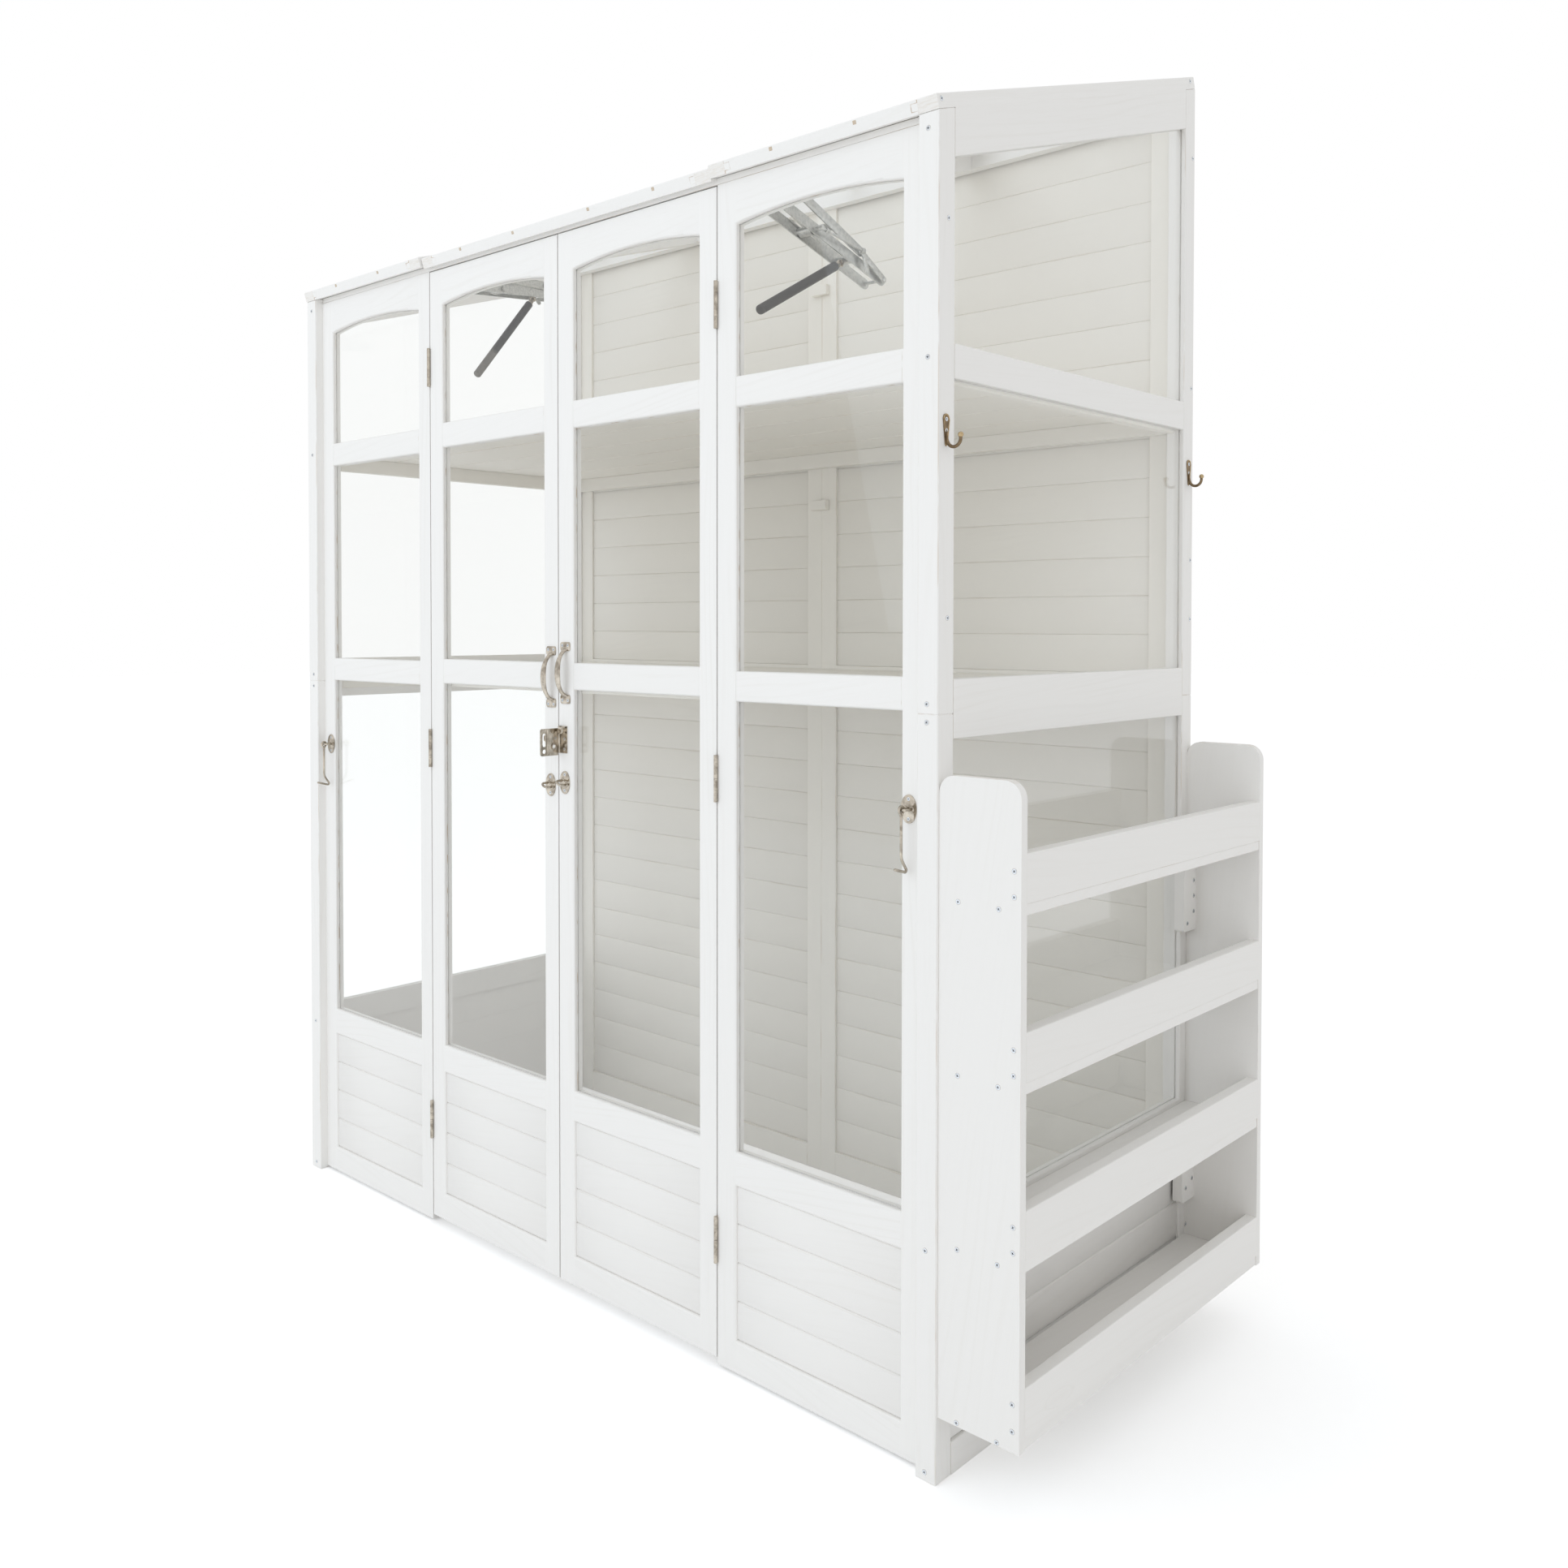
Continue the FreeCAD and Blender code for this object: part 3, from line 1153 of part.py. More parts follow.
def least_gap(points):
    """The least clear distance between places on the coil that lie half a turn or more apart."""
    finer = 6
    places = []
    for start, end in zip(points, points[1:]):
        step = end.sub(start).multiply(1 / finer)
        places += [start.add(Vector(step).multiply(share)) for share in range(finer)]
    half_turn = finer * SPRING_CORNERS // 2
    gap = SPRING_PITCH * SPRING_TURNS
    for i, place in enumerate(places):
        for other in places[i + half_turn:]:
            gap = min(gap, place.distanceToPoint(other) - 2 * SPRING_WIRE_R)
    return gap


def tie_plate(c, b):
    """A cross strap between the two lid arms, on their upper edges."""
    at = along_arm(c, b, OPENER_ARM * 0.55)
    x0, x1 = OPENER_X - OPENER_OUTER - 0.5, OPENER_X + OPENER_OUTER + 0.5
    strap = box(x0, x1, -OPENER_ARM_W / 2, OPENER_ARM_W / 2, OPENER_ARM_W / 2 - OPENER_ARM_T, OPENER_ARM_W / 2)
    strap.rotate(Vector(0, 0, 0), Vector(1, 0, 0), math.degrees(math.atan2(b[1] - c[1], b[0] - c[0])))
    strap.translate(Vector(0, at[0], at[1]))
    return strap


def eaves_bracket(a, edge):
    y0 = PANEL_BACK + BEAM_T
    half = edge + 0.3 + OPENER_ARM_T
    plate = box(OPENER_X - half, OPENER_X + half, y0, y0 + PLATE_T, a[1] - OPENER_EYE_R, a[1] + 2 * OPENER_EYE_R)
    pieces = [plate, axle(a, half, OPENER_AXLE_R)]
    for x0 in (OPENER_X - half, OPENER_X + half - OPENER_ARM_T):
        pieces.append(box(x0, x0 + OPENER_ARM_T, y0, a[0] + OPENER_EYE_R, a[1] - OPENER_EYE_R, a[1] + OPENER_EYE_R))
    return join(pieces)


def lid_bracket(c, far):
    """A plate under the lid with two ears for the lid arms' axle."""
    half = far + 0.3 + OPENER_ARM_T
    run = OPENER_EYE_R
    pieces = [axle(c, half, OPENER_AXLE_R)]
    top = [(c[0] - run, roof_z(c[0] - run)), (c[0] + 3 * run, roof_z(c[0] + 3 * run))]
    outline = top + [(y, z - PLATE_T / COS) for y, z in reversed(top)]
    pieces.append(prism_x(outline, OPENER_X - half, OPENER_X + half))
    ear = [top[0], (c[0] + run, roof_z(c[0] + run)), (c[0] + run, c[1] - run), (c[0] - run, c[1] - run)]
    for x0 in (OPENER_X - half, OPENER_X + half - OPENER_ARM_T):
        pieces.append(prism_x(ear, x0, x0 + OPENER_ARM_T))
    return join(pieces)


def cylinder(a, at):
    """The closed tube of the opener, on a short neck from the base arms' cross block."""
    back = math.atan2(a[1] - at[1], a[0] - at[0])
    fold = back + math.radians(CYLINDER_FOLD)
    down = Vector(0, math.cos(fold), math.sin(fold))
    block = Vector(OPENER_X, at[0], at[1])
    start = block.add(Vector(down).multiply(OPENER_EYE_R + CYLINDER_NECK))
    neck = rod(block.add(Vector(down).multiply(OPENER_EYE_R)), start, CYLINDER_R / 2)
    tube = rod(start, start.add(Vector(down).multiply(CYLINDER_L)), CYLINDER_R)
    rims = [edge for edge in tube.Edges if isinstance(edge.Curve, Part.Circle)]
    tube = tube.makeChamfer(CYLINDER_R * 0.35, rims)
    return join([neck, tube])


make_posts()
make_side_rails()
make_side_boards()
make_side_glass()
make_leaves()
make_back_wall()
make_roof_beams()
make_roof()
make_shelves()
make_rack()
make_door_hinges()
make_handles()
make_eyes()
make_hooks()
make_hasp()
make_coat_hooks()
make_lid_hinges()
make_openers()
print("parts", len(os.listdir("parts")))
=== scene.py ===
# %% [markdown]
# # A wooden cabinet greenhouse
# A lean-to cabinet of white-stained softwood and glass, about head height, with double doors, two roof lids
# and a rack on its side wall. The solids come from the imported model. This notebook dresses them: real
# boards with grain, glass, screws and nickel furniture, and then a floor, light and a camera.

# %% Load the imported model
import json
import math
import random

import bmesh
import bpy
from mathutils import Matrix, Vector

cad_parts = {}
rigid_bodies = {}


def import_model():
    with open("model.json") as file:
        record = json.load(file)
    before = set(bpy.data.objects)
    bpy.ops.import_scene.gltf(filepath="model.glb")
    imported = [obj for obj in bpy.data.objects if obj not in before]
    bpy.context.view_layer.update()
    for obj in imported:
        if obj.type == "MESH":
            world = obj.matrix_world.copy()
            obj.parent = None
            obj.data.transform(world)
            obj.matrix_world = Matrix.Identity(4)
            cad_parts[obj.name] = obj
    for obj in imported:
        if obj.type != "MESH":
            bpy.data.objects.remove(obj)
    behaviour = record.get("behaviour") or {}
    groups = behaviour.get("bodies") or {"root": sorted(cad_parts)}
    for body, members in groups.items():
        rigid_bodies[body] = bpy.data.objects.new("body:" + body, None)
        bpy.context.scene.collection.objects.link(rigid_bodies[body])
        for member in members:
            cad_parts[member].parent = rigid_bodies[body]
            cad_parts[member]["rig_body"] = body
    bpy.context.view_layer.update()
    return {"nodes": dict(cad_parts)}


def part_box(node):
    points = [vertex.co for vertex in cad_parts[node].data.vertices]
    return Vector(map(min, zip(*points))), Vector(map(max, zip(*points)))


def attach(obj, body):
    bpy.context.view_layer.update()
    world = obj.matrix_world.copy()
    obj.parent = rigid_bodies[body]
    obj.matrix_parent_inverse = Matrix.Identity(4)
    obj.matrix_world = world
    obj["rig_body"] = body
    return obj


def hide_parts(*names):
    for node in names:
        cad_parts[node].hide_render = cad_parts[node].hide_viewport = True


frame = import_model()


def into_scene(name, data):
    """A new object in the scene."""
    made = bpy.data.objects.new(name, data)
    bpy.context.scene.collection.objects.link(made)
    return made


# %% [markdown]
# ## Where things are
# The joiner's drawing measures in millimetres from the middle of the front, on the ground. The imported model
# is in metres and centred, so one helper turns a place on the drawing into a place in the scene. It is tied
# to the two front posts, the pieces that everything else is measured from.

# %% Places on the drawing
left_post, right_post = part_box("front_left_post"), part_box("front_right_post")
MIDDLE_X = (left_post[0].x + right_post[1].x) / 2
FRONT_Y = right_post[0].y
HALF_WIDTH = (right_post[1].x - left_post[0].x) / 2 * 1000
DEPTH = (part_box("back_frames")[1].y - FRONT_Y) * 1000


def place(x, y, z):
    """A point of the drawing, in millimetres, as a point of the scene."""
    return Vector((MIDDLE_X + x / 1000, FRONT_Y + y / 1000, z / 1000))


print("half width", round(HALF_WIDTH), "depth", round(DEPTH))

# %% [markdown]
# ## The camera
# The photograph was taken from the right of the cabinet at chest height, close enough for strong
# perspective. The lens was pointed almost level and the picture was framed lower afterwards, which a small
# vertical shift repeats. The place was found from straight edges of the cabinet.

# %% Camera
CAMERA_PLACE = Vector((1.8903, -1.89646, 1.1853))
CAMERA_TURN, CAMERA_PITCH, CAMERA_ROLL = math.radians(42.41), math.radians(-1.18), math.radians(0.05)
lens = bpy.data.cameras.new("camera")
lens.sensor_width = 36.0
lens.lens = 31.876
lens.shift_y = -0.0837
lens.clip_start, lens.clip_end = 0.05, 100.0
camera = into_scene("camera", lens)
camera.matrix_world = (
    Matrix.Translation(CAMERA_PLACE)
    @ Matrix.Rotation(CAMERA_TURN, 4, "Z")
    @ Matrix.Rotation(math.pi / 2 + CAMERA_PITCH, 4, "X")
    @ Matrix.Rotation(CAMERA_ROLL, 4, "Z")
)
bpy.context.scene.camera = camera
print("camera at", [round(v, 2) for v in camera.location])

# %% [markdown]
# ## Helpers for shaders
# A material is a small graph. These helpers add a node, set its values and join it to others in one line,
# so that each finish below reads as a list of what happens on the surface.

# %% Shader helpers
def node(tree, kind, inputs=None, **settings):
    """Adds a shader node. Inputs are plain values or other nodes' sockets."""
    made = tree.nodes.new(kind)
    for name, value in settings.items():
        setattr(made, name, value)
    for key, value in (inputs or {}).items():
        if isinstance(value, bpy.types.NodeSocket):
            tree.links.new(value, made.inputs[key])
        else:
            made.inputs[key].default_value = value
    return made


def maths(tree, operation, *values, clamp=False):
    """One step of arithmetic; gives its result's socket."""
    inputs = dict(enumerate(values))
    return node(tree, "ShaderNodeMath", inputs, operation=operation, use_clamp=clamp).outputs[0]


def mixed(tree, factor, a, b):
    """Two colours mixed by a factor; gives the colour's socket."""
    return node(tree, "ShaderNodeMix", {0: factor, 6: a, 7: b}, data_type="RGBA").outputs[2]


def ramp(tree, factor, low, high):
    """0 below low, 1 above high and a straight climb between."""
    inputs = {"Value": factor, "From Min": low, "From Max": high}
    return node(tree, "ShaderNodeMapRange", inputs, clamp=True).outputs[0]


def object_spot(tree):
    """The place of a spot on its piece, which is the place in the scene, because every piece sits at 0."""
    return node(tree, "ShaderNodeTexCoord").outputs["Object"]


def noise(tree, spot, scale, detail, roughness=0.5):
    """A cloudy pattern between 0 and 1."""
    inputs = {"Vector": spot, "Scale": scale, "Detail": detail, "Roughness": roughness}
    return node(tree, "ShaderNodeTexNoise", inputs).outputs[0]


def add_bump(tree, shader, height, strength, distance):
    """Lets a height tilt the surface of a shader."""
    inputs = {"Height": height, "Strength": strength, "Distance": distance}
    tree.links.new(node(tree, "ShaderNodeBump", inputs).outputs[0], shader.inputs["Normal"])


def seen_by_eye(tree):
    """1 for rays that reach the camera straight, off a mirror or through glass, else 0."""
    rays = node(tree, "ShaderNodeLightPath").outputs
    seen = maths(tree, "MAXIMUM", rays["Is Camera Ray"], rays["Is Glossy Ray"])
    return maths(tree, "MAXIMUM", seen, rays["Is Transmission Ray"])


def new_group(name, inputs, outputs):
    """An empty shader node group with named sockets; gives the group and its two end nodes."""
    group = bpy.data.node_groups.new(name, "ShaderNodeTree")
    for title, kind, value in inputs:
        socket = group.interface.new_socket(title, in_out="INPUT", socket_type=kind)
        if value is not None:
            socket.default_value = value
    for title, kind in outputs:
        group.interface.new_socket(title, in_out="OUTPUT", socket_type=kind)
    return group, group.nodes.new("NodeGroupInput"), group.nodes.new("NodeGroupOutput")


def new_material(name):
    """A material with an empty graph; gives the material, its tree and its shader."""
    material = bpy.data.materials.new(name)
    material.use_nodes = True
    tree = material.node_tree
    return material, tree, tree.nodes["Principled BSDF"]


# %% [markdown]
# ## Stained softwood
# The wood is spruce under a thin white stain. Up close there are fine fibres, slow darker growth lines that
# swing round, faint oval knots, and bare yellow-brown wood on arrises and saw cuts that the stain missed.
# A picture of wood could be wrapped on, but it would repeat. Here the pattern is worked out for every spot.
# It must follow each board, so every board carries its own coordinates: along the grain, across it and
# through it, with a random start. The group turns them into a colour, a roughness and a height.

# %% Group: stained softwood
STAIN = (0.912, 0.898, 0.872, 1)
DULLER_BATCH = (0.80, 0.785, 0.755, 1)
GROWTH = (0.76, 0.725, 0.665, 1)
BARE_WOOD = (0.50, 0.34, 0.19, 1)
END_GRAIN = (0.74, 0.67, 0.58, 1)
KNOT_SIZE, KNOT_SHARE = 0.115, 0.80


def build_softwood():
    group, ends_in, ends_out = new_group(
        "stained softwood",
        [("Grain", "NodeSocketVector", None), ("Finish", "NodeSocketVector", None),
         ("Stain", "NodeSocketColor", STAIN), ("Growth", "NodeSocketColor", GROWTH),
         ("Bare Wood", "NodeSocketColor", BARE_WOOD), ("Figure", "NodeSocketFloat", 1.0)],
        [("Color", "NodeSocketColor"), ("Roughness", "NodeSocketFloat"), ("Height", "NodeSocketFloat")],
    )
    tree, grain = group, ends_in.outputs["Grain"]
    finish = node(tree, "ShaderNodeSeparateXYZ", {0: ends_in.outputs["Finish"]})
    tint, arris, end_grain = finish.outputs

    def stretched(x, y, z):
        return node(tree, "ShaderNodeVectorMath", {0: grain, 1: (x, y, z)}, operation="MULTIPLY").outputs[0]

    def cloud(stretch, detail=2.0):
        return noise(tree, stretched(*stretch), 1.0, detail, 0.6)

    def times(a, b):
        return maths(tree, "MULTIPLY", a, b)

    def plus(a, b):
        return maths(tree, "ADD", a, b)

    fibre = cloud((5, 420, 420), 3.0)
    parts = node(tree, "ShaderNodeSeparateXYZ", {0: grain}).outputs
    rings = plus(plus(times(parts[1], 60.0), times(parts[2], 45.0)), times(cloud((1.1, 8, 8)), 7.0))
    growth = ramp(tree, maths(tree, "SINE", times(rings, math.tau)), 0.35, 1.0)
    growth = times(growth, ramp(tree, cloud((3, 14, 14)), 0.42, 0.70))

    knots = node(tree, "ShaderNodeTexVoronoi", {"Vector": stretched(2.6, 8.5, 2.0), "Scale": 1.0})
    lucky = node(tree, "ShaderNodeSeparateColor", {0: knots.outputs["Color"]}).outputs[0]
    is_knot = maths(tree, "GREATER_THAN", lucky, KNOT_SHARE)
    reach = plus(knots.outputs["Distance"], times(cloud((60, 60, 60)), 0.03))
    core = times(ramp(tree, reach, KNOT_SIZE, 0.05), is_knot)
    near_rim = maths(tree, "ABSOLUTE", maths(tree, "SUBTRACT", reach, KNOT_SIZE))
    rim = times(ramp(tree, near_rim, 0.012, 0.0), is_knot)

    shade = plus(times(growth, 0.20), times(ramp(tree, fibre, 0.50, 0.80), 0.17))
    shade = plus(plus(shade, times(core, 0.16)), times(rim, 0.30))
    shade = maths(tree, "MULTIPLY", shade, ends_in.outputs["Figure"], clamp=True)
    stained = mixed(tree, shade, ends_in.outputs["Stain"], ends_in.outputs["Growth"])
    stained = mixed(tree, times(tint, 0.10), stained, DULLER_BATCH)

    bare = times(times(arris, ramp(tree, cloud((9, 40, 40), 3.0), 0.50, 0.62)), 0.75)
    coloured = mixed(tree, bare, stained, ends_in.outputs["Bare Wood"])
    thirsty = times(end_grain, plus(0.16, times(ramp(tree, cloud((60, 60, 420)), 0.45, 0.75), 0.45)))
    coloured = mixed(tree, thirsty, coloured, END_GRAIN)
    tree.links.new(coloured, ends_out.inputs["Color"])
    tree.links.new(plus(0.50, times(fibre, 0.16)), ends_out.inputs["Roughness"])
    height = maths(tree, "SUBTRACT", times(fibre, 0.7), plus(times(growth, 0.35), rim))
    tree.links.new(height, ends_out.inputs["Height"])
    return group


softwood = build_softwood()
print("softwood group nodes", len(softwood.nodes))

# %% [markdown]
# The wood's material puts the group on a Principled shader. The board's own coordinates come from two
# attributes that the steps below write on each mesh: `grain` is the place on the board in metres, and
# `finish` holds a random tint, how bare the arris is, and whether the spot is end grain. Four woods come
# from it: the frames show the most figure, the boards less, the boards inside get a yellower stain that
# paints the warm tone of the shade in there, and the sawn ends of the glazing bars are nearly bare.

# %% Materials: stained wood
BOARD_STAIN = (0.900, 0.884, 0.856, 1)
SAWN_STAIN = (0.60, 0.49, 0.37, 1)
# Painted shade: the yellower stain of the boards inside stands for the warm tone of the shade there.
SHADE_WARM_STAIN = (0.900, 0.870, 0.805, 1)


def make_wood(name, figure, stain):
    material, tree, shader = new_material(name)
    group = node(tree, "ShaderNodeGroup", node_tree=softwood)
    for title in ("Grain", "Finish"):
        read = node(tree, "ShaderNodeAttribute", attribute_name=title.lower()).outputs["Vector"]
        tree.links.new(read, group.inputs[title])
    group.inputs["Figure"].default_value = figure
    group.inputs["Stain"].default_value = stain
    tree.links.new(group.outputs["Color"], shader.inputs["Base Color"])
    tree.links.new(group.outputs["Roughness"], shader.inputs["Roughness"])
    add_bump(tree, shader, group.outputs["Height"], 0.22, 0.0005)
    shader.inputs["Specular IOR Level"].default_value = 0.3
    return material


frame_wood = make_wood("white frame wood", 0.70, STAIN)
board_wood = make_wood("white board wood", 0.45, BOARD_STAIN)
sawn_wood = make_wood("sawn end wood", 0.70, SAWN_STAIN)
shade_warm_wood = make_wood("shade warm board wood", 0.45, SHADE_WARM_STAIN)
print("woods", frame_wood.name, board_wood.name, sawn_wood.name, shade_warm_wood.name, sep=", ")

# %% [markdown]
# ## Boards from the solids
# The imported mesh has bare, knife-sharp boxes. Real boards have eased arrises that catch light and let a
# dark line show where two meet. A node holds many boards, one closed shell after another, so the triangles
# are gathered until every edge has met its twin: then one board is whole. Each is welded, its flat faces
# joined again, its sharp edges eased, and its longest edge taken as the way the grain runs.

# %% Boards: split a node into its solids
def solids_of(name):
    """The closed solids of a node, each as (points of the node, its own triangles)."""
    mesh = frame["nodes"][name].data
    spots, points, ids = {}, [], []
    for vertex in mesh.vertices:
        key = tuple(round(c * 1e5) for c in vertex.co)
        if key not in spots:
            spots[key] = len(points)
            points.append(vertex.co.copy())
        ids.append(spots[key])
    solids, current, waiting = [], [], set()
    for polygon in mesh.polygons:
        corners = [ids[i] for i in polygon.vertices]
        if len(set(corners)) < 3:
            continue
        current.append(corners)
        for a, b in zip(corners, corners[1:] + corners[:1]):
            if (b, a) in waiting:
                waiting.remove((b, a))
            else:
                waiting.add((a, b))
        if not waiting:
            solids.append((points, current))
            current = []
    return solids


# %% [markdown]
# A Bevel modifier could ease a whole node at once. Here bmesh bevels each board by itself, because it marks
# the new faces, and the wood's finish needs to know which faces are arrises.

# %% Boards: ease one solid's arrises
FLAT = math.radians(0.6)
SHARP = math.radians(25)


def eased_solid(points, triangles, ease):
    """A bmesh of one solid with clean flat faces and a chamfer on each sharp edge, marked by material 1."""
    bm = bmesh.new()
    made = {}
    for corners in triangles:
        for i in corners:
            if i not in made:
                made[i] = bm.verts.new(points[i])
    for corners in triangles:
        bm.faces.new([made[i] for i in corners])
    bmesh.ops.dissolve_limit(bm, angle_limit=FLAT, verts=bm.verts, edges=bm.edges)
    sharp = [e for e in bm.edges if len(e.link_faces) == 2 and e.calc_face_angle(0) > SHARP]
    bmesh.ops.bevel(bm, geom=sharp, offset=ease, offset_type="OFFSET", segments=1, profile=0.5,
                    affect="EDGES", clamp_overlap=True, material=1)
    bm.normal_update()
    return bm


def grain_frame(bm):
    """Three unit vectors: along the longest edge, across the widest face, and through it."""
    longest = max(bm.edges, key=lambda e: e.calc_length())
    along = (longest.verts[1].co - longest.verts[0].co).normalized()
    widest = max(bm.faces, key=lambda f: f.calc_area() * (1 - abs(f.normal.dot(along))))
    through = (widest.normal - along * widest.normal.dot(along)).normalized()
    return along, through.cross(along), through


# %% [markdown]
# A dressed copy of a node stands for the node, rides on the node's body and keeps its outline, because
# easing an arris only takes material away. Every other piece goes into the scene by the same function.

# %% Pieces: mesh, attributes and body
SMOOTH = math.radians(35)


def finish_mesh(mesh):
    """Smooth shading with crisp edges where faces meet at an angle."""
    bm = bmesh.new()
    bm.from_mesh(mesh)
    for face in bm.faces:
        face.smooth = True
    for edge in bm.edges:
        edge.smooth = len(edge.link_faces) == 2 and edge.calc_face_angle(0) < SMOOTH
    bm.to_mesh(mesh)
    bm.free()


def store(mesh, name, values, domain="POINT"):
    """Writes an attribute on a mesh: a number or a vector for each point or corner."""
    if isinstance(values[0], float):
        mesh.attributes.new(name, "FLOAT", domain).data.foreach_set("value", values)
    else:
        flat = [c for vector in values for c in vector]
        mesh.attributes.new(name, "FLOAT_VECTOR", domain).data.foreach_set("vector", flat)


def add_piece(name, mesh, materials, body, stands_for=()):
    """Puts a finished mesh in the scene on its body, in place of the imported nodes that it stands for."""
    finish_mesh(mesh)
    for material in materials:
        mesh.materials.append(material)
    piece = into_scene(name, mesh)
    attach(piece, body)
    for node_name in stands_for:
        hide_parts(node_name)
    return piece


# %% [markdown]
# The boards of a node become one mesh. Every point of it stores its place on its board, and every corner of
# a face stores the board's tint, the wear and whether it is end grain. Each board starts at a random place
# in the pattern, from a fixed seed, so no two show the same knots.

# %% Boards: grain and finish
def wood_mesh(name, solids, ease, wear, seed):
    """One mesh of eased boards that carry grain and finish attributes."""
    rng = random.Random(seed)
    verts, faces, grains, finishes = [], [], [], []
    for points, triangles in solids:
        bm = eased_solid(points, triangles, ease)
        along, across, through = grain_frame(bm)
        start = Vector([rng.uniform(0, 20) for _ in range(3)])
        tint = rng.random()
        base = len(verts)
        bm.verts.index_update()
        for vertex in bm.verts:
            spot = vertex.co
            verts.append(spot.copy())
            grains.append(Vector((spot.dot(along), spot.dot(across), spot.dot(through))) + start)
        for face in bm.faces:
            faces.append([base + v.index for v in face.verts])
            end = 1.0 if abs(face.normal.dot(along)) > 0.9 else 0.0
            finishes += [(tint, wear * face.material_index, end)] * len(face.verts)
        bm.free()
    mesh = bpy.data.meshes.new(name)
    mesh.from_pydata(verts, [], faces)
    store(mesh, "grain", grains)
    store(mesh, "finish", finishes, "CORNER")
    return mesh


# %% [markdown]
# Only one wooden shape is changed. Nothing shows below the middle rails of the doors, so the two bearers
# behind them, at the front of the shelves, are cut down to their upper part.

# %% Boards: the front bearers of the shelves
BEARER_KEPT = 0.012
FRONT_ZONE = 0.060


def short_bearer(points, triangles):
    """A bearer cut down to its upper part where it lies right behind the doors."""
    points = {i: points[i].copy() for corners in triangles for i in corners}
    if max(p.y for p in points.values()) < FRONT_Y + FRONT_ZONE:
        top = max(p.z for p in points.values())
        for p in points.values():
            p.z = max(p.z, top - BEARER_KEPT)
    return points, triangles


# %% [markdown]
# Posts have hand-rounded corners, the thin boards hardly any. Bare wood shows most on frames that get
# handled, and the boards of the walls are nearly plain.

# %% Boards: dress every wooden node
# Each row: a word in the node's name, its wood, how far arrises are eased in metres, how bare they are.
BY_KIND = [("post", frame_wood, 0.0013, 0.35), ("back_boards", shade_warm_wood, 0.0004, 0.30),
           ("boards", board_wood, 0.0003, 0.20), ("back_frames", shade_warm_wood, 0.0006, 0.70),
           ("shelf", shade_warm_wood, 0.0010, 0.30), ("rack", board_wood, 0.0009, 0.45),
           ("lid_frame", frame_wood, 0.0010, 0.75), ("side_rails", frame_wood, 0.0010, 0.80),
           ("", frame_wood, 0.0005, 0.80)]


def of_slot(slot_name):
    """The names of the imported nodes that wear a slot."""
    return sorted(n for n, o in frame["nodes"].items() if o.data.materials[0].name.startswith(slot_name))


def dress_boards(name, material, ease, wear, seed):
    """A copy of a wooden node, its boards eased."""
    solids = solids_of(name)
    if name == "shelf_bearers":
        solids = [short_bearer(*solid) for solid in solids]
    mesh = wood_mesh(name + "_wood", solids, ease, wear, seed)
    return add_piece(name + "_wood", mesh, [material], frame["nodes"][name]["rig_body"], [name])


for count, name in enumerate(of_slot("white_wood")):
    _, material, ease, wear = next(row for row in BY_KIND if row[0] in name)
    dress_boards(name, material, ease, wear, count)
print("wooden nodes dressed", len(of_slot("white_wood")))

# %% [markdown]
# ## Small wooden parts
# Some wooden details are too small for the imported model. A strip closes the eaves between the posts. It and
# the bar ends below are prisms: one outline, drawn from the side, between two places across the front. They
# go through the same steps as the boards, so they get the same arrises and grain.

# %% Eaves strip
def prism(profile, low_x, high_x):
    """A closed solid with one outline in y and z, between two places across the front."""
    n = len(profile)
    points = [place(x, y, z) for x in (low_x, high_x) for y, z in profile]
    sides = [[k, (k + 1) % n, n + (k + 1) % n, n + k] for k in range(n)]
    return points, [list(range(n))[::-1], list(range(n, 2 * n))] + sides


EAVES = [(17.5, 1874.6), (37, 1874.6), (37, 1890.9), (17.5, 1885.0)]
EAVES_END = 804
strip = wood_mesh("eaves_strip", [prism(EAVES, -EAVES_END, EAVES_END)], 0.0006, 0.5, 91)
made = add_piece("eaves_strip", strip, [frame_wood], "carcass")
print(made.name, "faces", len(made.data.polygons))

# %% [markdown]
# The tongues of the roof's glazing bars show as end grain in the top edge of its front rails. The rails lean
# back with the roof, so a place on one is given as a share of the way from its lower to its upper edge.

# %% Bar ends
# Each roof section: its two ends across the front, and the middles of its glazing bars.
ROOF_SECTIONS = {"right_lid_frame": (401.5, 840.0, (534, 696)),
                 "left_lid_frame": (-840.0, -401.5, (-711, -550)),
                 "roof_middle_frame": (-398.5, 398.5, (-270, -107, 104, 268))}
# Corners of a tongue: the share up the rail, and how far out of it.
TONGUE = [(0.66, -2), (0.97, -2), (0.97, 0.35), (0.66, 0.35)]
TONGUE_HALF = 3.3


def on_front_rail(name, x, share, out=0.0):
    """A point on or out of the leaning front of a roof section, at a share of the way up it."""
    spots = [((v.co.y - FRONT_Y) * 1000, v.co.z * 1000) for v in frame["nodes"][name].data.vertices]
    low, high = Vector(min(spots, key=lambda spot: spot[1])), Vector(min(spots))
    up = (high - low).normalized()
    y, z = low + (high - low) * share + Vector((-up.y, up.x)) * out
    return x, y, z


for name, (low_x, high_x, bars) in ROOF_SECTIONS.items():
    profile = [on_front_rail(name, 0, share, out)[1:] for share, out in TONGUE]
    tongues = [prism(profile, x - TONGUE_HALF, x + TONGUE_HALF) for x in bars]
    ends = wood_mesh(name + "_bar_ends", tongues, 0.0004, 1.0, 92)
    add_piece(name + "_bar_ends", ends, [sawn_wood], frame["nodes"][name]["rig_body"])
print("bar ends", sum(len(row[2]) for row in ROOF_SECTIONS.values()))

# %% [markdown]
# ## Glass
# The panes are clear float glass. A plain transmission shader bends light as glass does, but a renderer
# then draws a dark shadow under every pane. So the alpha goes to almost nothing for shadow and diffuse rays:
# the inside of the cabinet is lit through the panes as in life, and the camera still sees glass.

